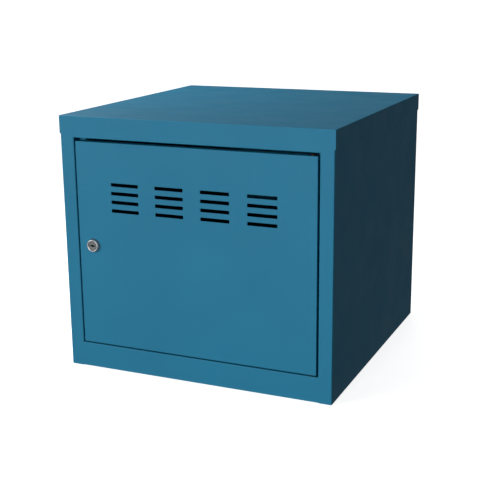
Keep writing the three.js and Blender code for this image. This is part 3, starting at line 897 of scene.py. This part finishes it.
# %% [markdown]
# ## Turned parts
# Pins, bushes, bumpers, rivets and the lock's round parts are all an outline spun about an axis. A
# Screw modifier would spin them too, but it can't cut a thread on part of the outline, so a
# function does it. The outline is a list of (radius, place along the axis), and every corner is
# eased by a small curve, because nothing turned or moulded has a perfectly sharp corner. An outline
# that never touches the axis closes on itself and makes a ring.

# %% Ease an outline and spin it
ON_AXIS = 1e-7


def eased(outline, ease):
    ring = outline[0][0] > 0
    points = []
    for i, corner in enumerate(outline):
        here = Vector(corner)
        if not ring and i in (0, len(outline) - 1):
            points.append(here)
            continue
        before = Vector(outline[i - 1]) - here
        after = Vector(outline[(i + 1) % len(outline)]) - here
        reach = min(ease, 0.45 * before.length, 0.45 * after.length)
        start, end = here + before.normalized() * reach, here + after.normalized() * reach
        points += [start, start * 0.25 + here * 0.5 + end * 0.25, end]
    return points


def spin(name, outline, centre, axis="Y", sides=48, wobble=None):
    """centre is where the axis passes. wobble(radius, place, turn) adds to the radius."""
    points, rings = [], []
    for radius, place in outline:
        count = sides if radius > ON_AXIS else 1
        rings.append(list(range(len(points), len(points) + count)))
        for i in range(count):
            turn = 2 * math.pi * i / sides
            r = radius + (wobble(radius, place, turn) if wobble else 0)
            u, v = centre[0] + r * math.cos(turn), centre[1] + r * math.sin(turn)
            points.append((u, place, v) if axis == "Y" else (u, v, place))
    faces = []
    pairs = list(zip(rings, rings[1:]))
    if len(rings[0]) > 1:
        pairs.append((rings[-1], rings[0]))
    for a, b in pairs:
        for i in range(sides):
            j = (i + 1) % sides
            corners = [a[i % len(a)], a[j % len(a)], b[j % len(b)], b[i % len(b)]]
            faces.append(tuple(dict.fromkeys(corners)))
    return add_mesh(name, points, faces)


print("an eased corner has", len(eased([(0, 0), (1, 0), (0, 1)], 0.1)) - 2, "points")

# %% [markdown]
# ## Door
# The door's vents are a punched grid: rows and columns of one slot. An Array modifier for each
# direction would do, but Geometry Nodes keeps the whole press tool in one tree: it draws one slot,
# copies it over a grid of points, and cuts the lot out of the door. Its inputs are those of the
# tool: how many columns and rows, their pitches, and the slot's length, height and corner radius.

# %% The vent punch
UPRIGHT = (math.radians(90), 0, 0)  # turns a grid that lies flat to face the front


def vent_tree():
    tree, given = new_geometry_tree("punch_vents", [
        ("Columns", "NodeSocketInt"), ("Rows", "NodeSocketInt"),
        ("Pitch Across", "NodeSocketFloat"), ("Pitch Down", "NodeSocketFloat"),
        ("Slot Length", "NodeSocketFloat"), ("Slot Height", "NodeSocketFloat"),
        ("Corner Radius", "NodeSocketFloat"), ("Middle", "NodeSocketVector"),
        ("Depth", "NodeSocketFloat"), ("Finish", "NodeSocketMaterial"),
    ])

    def span(count, pitch):
        gaps = add_node(tree, "ShaderNodeMath", {0: given[count], 1: 1.0}, operation="SUBTRACT")
        return add_node(
            tree, "ShaderNodeMath", {0: gaps.outputs[0], 1: given[pitch]}, operation="MULTIPLY").outputs[0]

    grid = add_node(tree, "GeometryNodeMeshGrid", {
        "Size X": span("Columns", "Pitch Across"), "Size Y": span("Rows", "Pitch Down"),
        "Vertices X": given["Columns"], "Vertices Y": given["Rows"]})
    outline = add_node(tree, "GeometryNodeCurvePrimitiveQuadrilateral", {
        "Width": given["Slot Length"], "Height": given["Slot Height"]})
    rounded = add_node(tree, "GeometryNodeFilletCurve", {
        "Curve": outline.outputs[0], "Count": 4, "Radius": given["Corner Radius"]}, mode="POLY")
    filled = add_node(tree, "GeometryNodeFillCurve", {"Curve": rounded.outputs[0]}, mode="NGONS")
    punch = add_node(tree, "GeometryNodeExtrudeMesh", {
        "Mesh": filled.outputs[0], "Offset Scale": given["Depth"], "Individual": False}, mode="FACES")
    bottom = add_node(tree, "GeometryNodeFlipFaces", {"Mesh": filled.outputs[0]})
    shell = add_node(tree, "GeometryNodeJoinGeometry")
    tree.links.new(bottom.outputs[0], shell.inputs[0])
    tree.links.new(punch.outputs["Mesh"], shell.inputs[0])
    closed = add_node(tree, "GeometryNodeMergeByDistance", {
        "Geometry": shell.outputs[0], "Distance": DOUBLES_WITHIN})
    half = add_node(tree, "ShaderNodeMath", {0: given["Depth"], 1: -0.5}, operation="MULTIPLY")
    back_off = add_node(tree, "ShaderNodeCombineXYZ", {"Z": half.outputs[0]})
    centred = add_node(tree, "GeometryNodeTransform", {
        "Geometry": closed.outputs[0], "Translation": back_off.outputs[0]})
    copies = add_node(tree, "GeometryNodeInstanceOnPoints", {
        "Points": grid.outputs["Mesh"], "Instance": centred.outputs[0]})
    real = add_node(tree, "GeometryNodeRealizeInstances", {"Geometry": copies.outputs[0]})
    stood_up = add_node(tree, "GeometryNodeTransform", {
        "Geometry": real.outputs[0], "Rotation": UPRIGHT, "Translation": given["Middle"]})
    punched = add_node(tree, "GeometryNodeMeshBoolean", operation="DIFFERENCE")
    tree.links.new(given["Geometry"], punched.inputs["Mesh 1"])
    tree.links.new(stood_up.outputs[0], punched.inputs["Mesh 2"])
    return finish_tree(tree, punched.outputs["Mesh"], given["Finish"])


punch_vents = vent_tree()
print("tree:", punch_vents.name)

# %% [markdown]
# The door is a pressed pan with an inward lip, so it is made of rings like the cover, with a wider
# corner. It is punched, and then drilled for the lock and for the two bushes.

# %% Door panel
DOOR_LIP = 9 * MM
DOOR_CORNER = 1.5 * MM
VENTS = {
    "Columns": 4, "Rows": 4, "Pitch Across": 70 * MM, "Pitch Down": 12.6 * MM,
    "Slot Length": 43.5 * MM, "Slot Height": 5 * MM, "Corner Radius": 0.4 * MM,
}
FIRST_VENT = 59.4 * MM  # from the door's top edge to the middle of the first row
door_middle = (door_low.x + door_high.x) / 2
vent_middle = door_high.z - FIRST_VENT - (VENTS["Rows"] - 1) * VENTS["Pitch Down"] / 2
lock_low, lock_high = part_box("lock_housing")
LOCK_X, LOCK_Z = (lock_low.x + lock_high.x) / 2, (lock_low.z + lock_high.z) / 2
BARREL_RADIUS = 9 * MM
BUSH_RADIUS = 3.6 * MM

door = pressed_tray(
    "door", (door_low.x, door_low.z), (door_high.x, door_high.z), DOOR_CORNER,
    tray_section(door_high.y - door_low.y, DOOR_LIP),
    lambda u, v, depth: (u, FRONT + depth, v))
door.data.flip_normals()
run_tree(door, punch_vents, {
    **VENTS, "Depth": 4 * SHEET, "Middle": (door_middle, FRONT + SHEET / 2, vent_middle),
    "Finish": paint})
settle(door)
holes = [
    round_bar(
        "lock_hole", BARREL_RADIUS + TURNING_GAP,
        (LOCK_X, FRONT - FAR, LOCK_Z), (LOCK_X, FRONT + 2 * FAR, LOCK_Z)),
    round_bar(
        "bush_hole", BUSH_RADIUS + TURNING_GAP,
        (*PIN, door_low.z - FAR), (*PIN, door_high.z + FAR)),
]
combine(door, holes, "DIFFERENCE")
soften(door)
fit(door, paint, "paint", "door", "door_panel")

# %% [markdown]
# ## Stiffener
# A hat-shaped channel is spot welded upright inside the pan, between the two middle columns of
# vents. It keeps the thin skin from drumming. It is one folded sheet, so the folding tree makes it.

# %% Door stiffener
stiff_low, stiff_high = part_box("door_stiffener")
CHANNEL_FLANGE = 6 * MM
seat, crest = stiff_low.y, stiff_high.y - SHEET
near_wall, far_wall = stiff_low.x + CHANNEL_FLANGE, stiff_high.x - CHANNEL_FLANGE
stiffener = folded_panel(
    "stiffener",
    [(stiff_low.x, seat), (near_wall, seat), (near_wall, crest),
     (far_wall, crest), (far_wall, seat), (stiff_high.x, seat)],
    lambda corner: (corner.x, corner.y, stiff_low.z), (0, 0, stiff_high.z - stiff_low.z))
soften(stiffener)
fit(stiffener, paint, "paint", "door", "door_stiffener")

# %% [markdown]
# ## Spot welds
# The channel is held by two columns of spot welds. Each leaves a round, slightly raised ring in
# its flange, which the paint softens. They are few, so they are real geometry and not a bump.
# Geometry Nodes sets one on a grid of points, with the electrode's small misalignment from weld to
# weld as a random shift with a fixed seed.

# %% Spot welds
def weld_tree():
    tree, given = new_geometry_tree("spot_welds", [
        ("Columns", "NodeSocketInt"), ("Rows", "NodeSocketInt"),
        ("Width", "NodeSocketFloat"), ("Height", "NodeSocketFloat"), ("Middle", "NodeSocketVector"),
        ("Wander", "NodeSocketFloat"), ("Seed", "NodeSocketInt"), ("Finish", "NodeSocketMaterial"),
    ])
    grid = add_node(tree, "GeometryNodeMeshGrid", {
        "Size X": given["Width"], "Size Y": given["Height"],
        "Vertices X": given["Columns"], "Vertices Y": given["Rows"]})
    upright = add_node(tree, "GeometryNodeTransform", {
        "Geometry": grid.outputs["Mesh"], "Rotation": UPRIGHT, "Translation": given["Middle"]})
    chance = add_node(tree, "FunctionNodeRandomValue", {
        "Min": (-1, 0, -1), "Max": (1, 0, 1), "Seed": given["Seed"]}, data_type="FLOAT_VECTOR")
    shift = add_node(tree, "ShaderNodeVectorMath", {0: chance.outputs["Value"]}, operation="SCALE")
    tree.links.new(given["Wander"], shift.inputs["Scale"])
    moved = add_node(tree, "GeometryNodeSetPosition", {
        "Geometry": upright.outputs[0], "Offset": shift.outputs[0]})
    copies = add_node(tree, "GeometryNodeInstanceOnPoints", {
        "Points": moved.outputs[0], "Instance": given["Geometry"]})
    return finish_tree(tree, copies.outputs[0], given["Finish"])


# radius and rise, in millimetres
WELD = [(0, 0.03), (1.3, 0.04), (1.8, 0.13), (2.2, 0.13), (2.7, 0.0), (2.5, -0.05), (0, -0.05)]
WELD_ROWS = 8
WELD_SPAN = 0.92  # of the channel's length
WELD_WANDER = 0.25 * MM
WELD_SEED = 7

weld_face = seat + SHEET
weld_outline = [(radius * MM, weld_face + rise * MM) for radius, rise in WELD]
welds = spin("door_welds", weld_outline, (0, 0), sides=20)
run_tree(welds, weld_tree(), {
    "Columns": 2, "Rows": WELD_ROWS, "Width": stiff_high.x - stiff_low.x - CHANNEL_FLANGE,
    "Height": WELD_SPAN * (stiff_high.z - stiff_low.z),
    "Middle": ((stiff_low.x + stiff_high.x) / 2, 0, (stiff_low.z + stiff_high.z) / 2),
    "Wander": WELD_WANDER, "Seed": WELD_SEED, "Finish": paint})
settle(welds)
fit(welds, paint, "paint", "door")

# %% [markdown]
# ## Blind rivets
# A blind rivet has a low dome outside, with the broken end of its mandrel sunk in the middle, and a
# swollen tail inside. Eleven copies could be made in a loop, but Geometry Nodes spaces them from
# counts and end points, as a template does. One is spun here, and the tree sets it along a row up
# each side and along the bottom, and gives each a random turn.

# %% A tree that sets rivets in rows
def rivet_tree():
    tree, given = new_geometry_tree("set_rivets", [
        ("Up A Side", "NodeSocketInt"), ("Along Bottom", "NodeSocketInt"),
        ("Left Foot", "NodeSocketVector"), ("Left Top", "NodeSocketVector"),
        ("Right Foot", "NodeSocketVector"), ("Right Top", "NodeSocketVector"),
        ("Bottom Start", "NodeSocketVector"), ("Bottom End", "NodeSocketVector"),
        ("Seed", "NodeSocketInt"), ("Finish", "NodeSocketMaterial"),
    ])
    rows = add_node(tree, "GeometryNodeJoinGeometry")
    for count, start, end in (
        ("Up A Side", "Left Foot", "Left Top"), ("Up A Side", "Right Foot", "Right Top"),
        ("Along Bottom", "Bottom Start", "Bottom End"),
    ):
        row = add_node(tree, "GeometryNodeMeshLine", {
            "Count": given[count], "Start Location": given[start], "Offset": given[end]},
            mode="END_POINTS", count_mode="TOTAL")
        tree.links.new(row.outputs[0], rows.inputs[0])
    turn = add_node(tree, "FunctionNodeRandomValue", {
        "Max": (0, 2 * math.pi, 0), "Seed": given["Seed"]}, data_type="FLOAT_VECTOR")
    copies = add_node(tree, "GeometryNodeInstanceOnPoints", {
        "Points": rows.outputs[0], "Instance": given["Geometry"],
        "Rotation": turn.outputs["Value"]})
    return finish_tree(tree, copies.outputs[0], given["Finish"])


set_rivets = rivet_tree()
print("tree:", set_rivets.name)

# %% [markdown]
# The outline runs from the mandrel over the dome to its seat, through the sheets and round the tail
# to the tip. Lengths along the shank come from the sheets that the rivet holds together.

# %% Rivets
MANDREL = [(0, 0.5), (0.8, 0.42), (1.0, 0.6)]  # radius and drop, in millimetres
DOME = [(1.1, 0.0), (2.3, 0.09), (3.4, 0.34), (4.0, 0.68)]
TAIL = [(1.35, 0.0), (1.35, 0.9), (2.35, 1.3), (2.9, 2.0), (2.7, 2.7), (2.0, 3.0)]  # radius and rise
TAIL_LENGTH = 3 * MM
RIVET_HEAD, RIVET_SHANK = 4.0 * MM, 2.0 * MM
RIVET_SEED = 4

rivet_head, rivet_tail = side_rivet_high.y, side_rivet_low.y
head_seat, tail_seat = back_high.y + SEAM / 2, WALL_REAR - SHEET - SEAM / 2
rivet_outline = [(radius * MM, rivet_head - drop * MM) for radius, drop in MANDREL + DOME]
rivet_outline += [(RIVET_HEAD, head_seat), (RIVET_SHANK, head_seat)]
tail_tip = tail_seat - TAIL_LENGTH
rivet_outline += [(radius * MM, tail_tip + rise * MM) for radius, rise in reversed(TAIL)]
rivet_outline += [(0, rivet_tail)]
rivets = spin("rivets", rivet_outline, (0, 0), sides=20)
run_tree(rivets, set_rivets, {
    "Up A Side": RIVETS_UP_A_SIDE, "Along Bottom": RIVETS_ALONG_BOTTOM,
    "Left Foot": (-RIVET_SIDE_X, 0, RIVET_FIRST_Z), "Left Top": (-RIVET_SIDE_X, 0, RIVET_LAST_Z),
    "Right Foot": (RIVET_SIDE_X, 0, RIVET_FIRST_Z), "Right Top": (RIVET_SIDE_X, 0, RIVET_LAST_Z),
    "Bottom Start": (-RIVET_END_X, 0, RIVET_BOTTOM_Z),
    "Bottom End": (RIVET_END_X, 0, RIVET_BOTTOM_Z),
    "Seed": RIVET_SEED, "Finish": paint})
settle(rivets)
rivet_nodes = [
    f"back_rivet_{side}_{i}"
    for side in ("left", "right") for i in range(1, RIVETS_UP_A_SIDE + 1)
]
rivet_nodes += [f"back_rivet_bottom_{i}" for i in range(1, RIVETS_ALONG_BOTTOM + 1)]
fit(rivets, paint, "paint", "cabinet", *rivet_nodes)

# %% [markdown]
# ## Pins, bushes and bumpers
# The door turns on two headed pins, one through each rail. A flanged nylon bush in the door's edge
# keeps steel off steel. Two rubber bumpers on the stop flange take the slap of a closing door. All
# are turned or moulded round, so each is one outline, and each pair shares it.

# %% Outlines of pins, bushes and bumpers
HEAD_RADIUS, HEAD_HEIGHT = 4.4 * MM, 2.4 * MM  # of a hinge pin
HEAD_FLAT, HEAD_CHAMFER = 3.2 * MM, 0.7 * MM
TIP = 0.8 * MM
PIN_EASE, BUSH_EASE, BUMPER_EASE = 0.25 * MM, 0.3 * MM, 0.5 * MM
BUSH_BORE = PIN_RADIUS + TURNING_GAP
BUSH_FLANGE_RADIUS = 4.6 * MM
BUMPER_DOME = [(0.45, 0.06 * MM), (0.8, 0.5 * MM), (1, 1.5 * MM)]  # share of the radius, and drop


def hinge_pin(name, head, tip):
    way = 1 if tip > head else -1
    neck = head + way * HEAD_HEIGHT
    outline = [
        (0, head), (HEAD_FLAT, head), (HEAD_RADIUS, head + way * HEAD_CHAMFER),
        (HEAD_RADIUS, neck), (PIN_RADIUS, neck),
        (PIN_RADIUS, tip - way * TIP), (PIN_RADIUS - TIP, tip), (0, tip),
    ]
    return spin(name, eased(outline, PIN_EASE), PIN, axis="Z")


def hinge_bush(name, inner, edge, outer):
    """inner and outer are its ends, and edge is where its flange starts."""
    outline = [
        (BUSH_BORE, inner), (BUSH_RADIUS, inner), (BUSH_RADIUS, edge),
        (BUSH_FLANGE_RADIUS, edge), (BUSH_FLANGE_RADIUS, outer), (BUSH_BORE, outer),
    ]
    return spin(name, eased(outline, BUSH_EASE), PIN, axis="Z")


def bumper(name, node):
    low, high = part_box(node)
    radius = (high.x - low.x) / 2
    outline = [(0, low.y)]
    outline += [(share * radius, low.y + drop) for share, drop in BUMPER_DOME]
    outline += [(radius, high.y), (0, high.y)]
    centre = ((low.x + high.x) / 2, (low.z + high.z) / 2)
    return spin(name, eased(outline, BUMPER_EASE), centre, sides=36)


print("bush:", round((BUSH_RADIUS - BUSH_BORE) / MM, 1), "mm of nylon round the pin")

# %% [markdown]
# The upper pin is the lower one turned over, with its head above the rail. The bushes' flanges face
# the rails, where they carry the door and space it.

# %% Fit the pins, bushes and bumpers
lower_pin_low, lower_pin_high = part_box("lower_hinge_pin")
fit(hinge_pin("lower_pin", lower_pin_low.z, lower_pin_high.z),
    greased_zinc, "zinc", "cabinet", "lower_hinge_pin")
fit(hinge_pin("upper_pin", pin_high.z, pin_low.z),
    greased_zinc, "zinc", "cabinet", "upper_hinge_pin")
fit(hinge_bush("lower_bush", bottom_bush_high.z, door_low.z - SEAM, bottom_bush_low.z),
    nylon, "nylon", "door", "lower_hinge_bush")
fit(hinge_bush("upper_bush", top_bush_low.z, door_high.z + SEAM, top_bush_high.z),
    nylon, "nylon", "door", "upper_hinge_bush")
for end in ("lower", "upper"):
    node = f"{end}_door_bumper"
    fit(bumper(f"{end}_bumper", node), rubber, "rubber", "cabinet", node)

# %% [markdown]
# ## Cam lock
# The housing is a turned barrel with a tapered flange and a rounded rim. Behind the door it is cut
# with a thread for its nut. A bump map could fake the thread, but its silhouette shows when the
# door is open, so it is a true helix: its height on the barrel depends on both the place and the
# turn.

# %% The thread on the barrel
LOCK = (LOCK_X, LOCK_Z)
LOCK_FACE, BARREL_END = lock_low.y, lock_high.y
THREAD_PITCH = 1.0 * MM
THREAD_DEPTH = 0.28 * MM
THREAD_STOP = 0.9 * MM  # plain barrel left at the end
RINGS_PER_PITCH = 6
ON_BARREL = BARREL_RADIUS - 0.01 * MM
thread_start, thread_end = FRONT + SHEET, BARREL_END - THREAD_STOP


def thread(radius, place, turn):
    """How much the thread lowers the barrel. It runs in and out over one pitch."""
    if radius < ON_BARREL or not thread_start <= place <= thread_end:
        return 0.0
    run_in = min(1.0, (place - thread_start) / THREAD_PITCH, (thread_end - place) / THREAD_PITCH)
    wave = 0.5 + 0.5 * math.cos(2 * math.pi * place / THREAD_PITCH - turn)
    return -THREAD_DEPTH * run_in * wave


thread_rings = round((thread_end - thread_start) / THREAD_PITCH * RINGS_PER_PITCH)
print("turns of thread:", round((thread_end - thread_start) / THREAD_PITCH, 1))

# %% [markdown]
# The rim round the plug is half a circle, so that it catches a bright arc of light as polished
# chrome does. The outline goes from it down the flange's taper to the seat, and on along the barrel.

# %% Lock housing
plug_low, plug_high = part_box("lock_plug")
FLANGE_RADIUS = (lock_high.x - lock_low.x) / 2
PLUG_RADIUS = (plug_high.x - plug_low.x) / 2
FLANGE_EDGE = 0.9 * MM
SHOULDER_IN, SHOULDER_OUT = 0.5 * MM, 1.5 * MM  # in from the flange's edge, and out from its seat
RIM_INSET = 1.2 * MM
NECK, HOUSING_EASE = 0.4 * MM, 0.2 * MM
RIM_STEP = 15  # degrees

flange_seat = FRONT - SEAM / 2
bore = PLUG_RADIUS + TURNING_GAP
BEAD = (FLANGE_RADIUS - RIM_INSET - bore) / 2  # half the width of the rounded rim round the plug
bead_middle = bore + BEAD
bead = []
for angle in range(180, -1, -RIM_STEP):
    across, out = math.cos(math.radians(angle)), math.sin(math.radians(angle))
    bead.append((bead_middle + BEAD * across, LOCK_FACE + BEAD - BEAD * out))
taper = eased([
    bead[-1], (FLANGE_RADIUS - SHOULDER_IN, flange_seat - SHOULDER_OUT),
    (FLANGE_RADIUS, flange_seat - FLANGE_EDGE), (FLANGE_RADIUS, flange_seat),
    (BARREL_RADIUS, flange_seat), (BARREL_RADIUS, flange_seat + NECK),
], HOUSING_EASE)[3:-3]  # its two ends go on into the rim and the barrel
barrel = [(BARREL_RADIUS, place) for place in spread(thread_start, thread_end, thread_rings)]
barrel_tip = [
    (BARREL_RADIUS, BARREL_END - NECK), (BARREL_RADIUS - NECK, BARREL_END), (bore, BARREL_END)]
housing = spin("housing", [*bead, *taper, *barrel, *barrel_tip], LOCK, sides=48, wobble=thread)
fit(housing, chrome, "chrome", "door", "lock_housing")

# %% [markdown]
# ## Lock nut
# A hexagon nut is cut from hexagon bar and then chamfered on a lathe. It is made in the same way
# here: a six-sided block is crossed with a turned one, which leaves the curved chamfers.

# %% Lock nut
nut_low, nut_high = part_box("lock_nut")
NUT_HOLE = BARREL_RADIUS + TURNING_GAP
NUT_CHAMFER = 0.8 * MM
nut_corner = (nut_high.x - nut_low.x) / 2
nut_flat = nut_corner * math.cos(math.radians(30))
sixths = [math.radians(60 * i) for i in range(6)]
nut_points = [
    (LOCK_X + nut_corner * math.cos(angle), y, LOCK_Z + nut_corner * math.sin(angle))
    for y in (nut_low.y, nut_high.y) for angle in sixths
]
nut_faces = [tuple(range(6)), tuple(range(6, 12))[::-1]]
nut_faces += [(i, i + 6, (i + 1) % 6 + 6, (i + 1) % 6) for i in range(6)]
nut = add_mesh("nut", nut_points, nut_faces)
chamfer = spin("chamfer", [
    (0, nut_low.y - FAR), (nut_flat, nut_low.y - FAR), (nut_flat, nut_low.y),
    (nut_corner, nut_low.y + NUT_CHAMFER), (nut_corner, nut_high.y - NUT_CHAMFER),
    (nut_flat, nut_high.y), (nut_flat, nut_high.y + FAR), (0, nut_high.y + FAR)], LOCK, sides=60)
combine(nut, [chamfer], "INTERSECT")
nut_hole = round_bar(
    "nut_hole", NUT_HOLE, (LOCK_X, nut_low.y - FAR, LOCK_Z), (LOCK_X, nut_high.y + FAR, LOCK_Z))
combine(nut, [nut_hole], "DIFFERENCE")
soften(nut)
fit(nut, zinc, "zinc", "door", "lock_nut")

# %% [markdown]
# ## Lock plug
# The plug turns in the housing. Its face is slightly dished, with a keyway cut in it, and a square
# tail behind carries the lever. It is turned, joined and cut, as the real one is. Plating doesn't
# reach into the keyway, and the faces inside it are marked and painted near black, a painted shade.

# %% Lock plug
KEY_SLOT = (8.4 * MM, 1.8 * MM)  # length and width
KEY_BIT = 3.2 * MM
KEY_DEPTH = 9 * MM
TAIL_SQUARE = 7 * MM
DISH_DEPTH, DISH_RADIUS, DISH_SLOPE = 0.25 * MM, 4.9 * MM, 0.2 * MM
PLUG_EDGE, PLUG_EASE, PLUG_SOFTENING = 0.3 * MM, 0.12 * MM, 0.1 * MM
SCREW_HOLE, SCREW_HOLE_DEPTH = 2.3 * MM, 8 * MM
plug_face, plug_tail = plug_low.y, plug_high.y


def around_lock(name, width, height, front, rear):
    return add_block(
        name, (LOCK_X - width / 2, front, LOCK_Z - height / 2),
        (LOCK_X + width / 2, rear, LOCK_Z + height / 2))


dish = plug_face + DISH_DEPTH
plug_rear = BARREL_END + SEAM
plug = spin("plug", eased([
    (0, dish), (DISH_RADIUS, dish), (DISH_RADIUS + DISH_SLOPE, plug_face),
    (PLUG_RADIUS - PLUG_EDGE, plug_face), (PLUG_RADIUS, plug_face + PLUG_EDGE),
    (PLUG_RADIUS, plug_rear), (0, plug_rear)], PLUG_EASE), LOCK, sides=60)
tail = around_lock("tail", TAIL_SQUARE, TAIL_SQUARE, BARREL_END - SHEET, plug_tail)
combine(plug, [tail], "UNION")
key_front, key_end = plug_face - FAR, plug_face + KEY_DEPTH
combine(plug, [
    around_lock("slot", *KEY_SLOT, key_front, key_end),
    around_lock("bit", KEY_BIT, KEY_BIT, key_front, key_end),
    round_bar(
        "screw_hole", SCREW_HOLE, (LOCK_X, plug_tail - SCREW_HOLE_DEPTH, LOCK_Z),
        (LOCK_X, plug_tail + FAR, LOCK_Z), sides=24),
], "DIFFERENCE")
soften(plug, width=PLUG_SOFTENING)
fit(plug, satin_chrome, "chrome", "lock_cylinder", "lock_plug")

# %% [markdown]
# The mark is a face attribute that the plating's recipe reads. A face is in the keyway when it is
# behind the plug's face, in front of the slot's end, and inside the plug's skin.

# %% Mark the keyway
PLATED_LIP = 0.6 * MM
END_MARGIN = 0.2 * MM


def in_keyway(face):
    x, y, z = face.center
    deep = plug_face + PLATED_LIP < y < key_end + END_MARGIN
    return deep and math.hypot(x - LOCK_X, z - LOCK_Z) < PLUG_RADIUS - END_MARGIN


# the keyway's faces are marked for a painted shade, near black
inside = plug.data.attributes.new("unplated_shade", "FLOAT", "FACE")
inside.data.foreach_set("value", [float(in_keyway(face)) for face in plug.data.polygons])
print("faces inside the keyway:", sum(1 for item in inside.data if item.value > 0))

# %% [markdown]
# ## Lever
# The lever is a stamped plate with a square hole. It hangs down while the lock is open, and swings
# sideways behind the stop flange to lock. A plate is an outline given a thickness, so the outline
# is drawn with its round end and its two small corners, and is repeated on the other face.

# %% Lever
lever_low, lever_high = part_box("lock_lever")
LEVER_HALF = (lever_high.x - lever_low.x) / 2
LEVER_CORNER = 2.5 * MM
LEVER_SOFTENING = 0.25 * MM
END_STEPS, CORNER_STEPS = 20, 6


def lever_outline():
    points = []
    for i in range(END_STEPS + 1):
        angle = math.pi * i / END_STEPS
        points.append((LOCK_X + LEVER_HALF * math.cos(angle), LOCK_Z + LEVER_HALF * math.sin(angle)))
    level = lever_low.z + LEVER_CORNER
    for side, first in ((-1, 180), (1, 270)):
        middle = LOCK_X + side * (LEVER_HALF - LEVER_CORNER)
        for i in range(CORNER_STEPS + 1):
            angle = math.radians(first + 90 * i / CORNER_STEPS)
            points.append((
                middle + LEVER_CORNER * math.cos(angle), level + LEVER_CORNER * math.sin(angle)))
    return points


outline = lever_outline()
count = len(outline)
lever_faces = [tuple(range(count)), tuple(range(count, 2 * count))[::-1]]
lever_faces += [(i, i + count, (i + 1) % count + count, (i + 1) % count) for i in range(count)]
lever = add_mesh(
    "lever", [(x, y, z) for y in (lever_low.y, lever_high.y) for x, z in outline], lever_faces)
square = TAIL_SQUARE + 2 * TURNING_GAP
square_hole = around_lock("square_hole", square, square, lever_low.y - FAR, lever_high.y + FAR)
combine(lever, [square_hole], "DIFFERENCE")
soften(lever, width=LEVER_SOFTENING)
fit(lever, zinc, "zinc", "lock_cylinder", "lock_lever")

# %% [markdown]
# A dished washer and a slotted screw hold the lever on the tail. Both are turned, and the slot is
# cut across the screw's head with a block.

# %% Washer and screw
washer_low, washer_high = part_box("lever_washer")
screw_low, screw_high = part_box("lever_screw")
SCREW_RADIUS = 2 * MM
SCREW_POINT = (0.4 * MM, 0.5 * MM)  # narrowing and length of the point
HEAD_WALL = 1.0 * MM
HEAD_DOME = [(0.5 * MM, 0.7 * MM), (1.6 * MM, 0.15 * MM)]  # in from the head's edge, and drop
DISHING = 0.15 * MM
SLOT_LENGTH, SLOT_WIDTH, SLOT_DEPTH = 12 * MM, 1.2 * MM, 1.1 * MM
WASHER_EASE, SCREW_EASE, SCREW_SOFTENING = 0.2 * MM, 0.3 * MM, 0.08 * MM

washer_bore = SCREW_RADIUS + TURNING_GAP
washer_radius = (washer_high.x - washer_low.x) / 2
washer = spin("washer", eased([
    (washer_bore, washer_low.y + DISHING), (washer_radius, washer_low.y),
    (washer_radius, washer_high.y - DISHING), (washer_bore, washer_high.y)], WASHER_EASE), LOCK)
fit(washer, zinc, "zinc", "lock_cylinder", "lever_washer")

screw_head = (screw_high.x - screw_low.x) / 2
head_start = washer_high.y + SEAM
screw = spin("screw", eased([
    (0, screw_low.y), (SCREW_RADIUS - SCREW_POINT[0], screw_low.y),
    (SCREW_RADIUS, screw_low.y + SCREW_POINT[1]), (SCREW_RADIUS, head_start),
    (screw_head, head_start), (screw_head, head_start + HEAD_WALL),
    *[(screw_head - inset, screw_high.y - drop) for inset, drop in HEAD_DOME],
    (0, screw_high.y)], SCREW_EASE), LOCK, sides=40)
drive = around_lock("drive", SLOT_LENGTH, SLOT_WIDTH, screw_high.y - SLOT_DEPTH, screw_high.y + FAR)
combine(screw, [drive], "DIFFERENCE")
soften(screw, width=SCREW_SOFTENING)
fit(screw, zinc, "zinc", "lock_cylinder", "lever_screw")
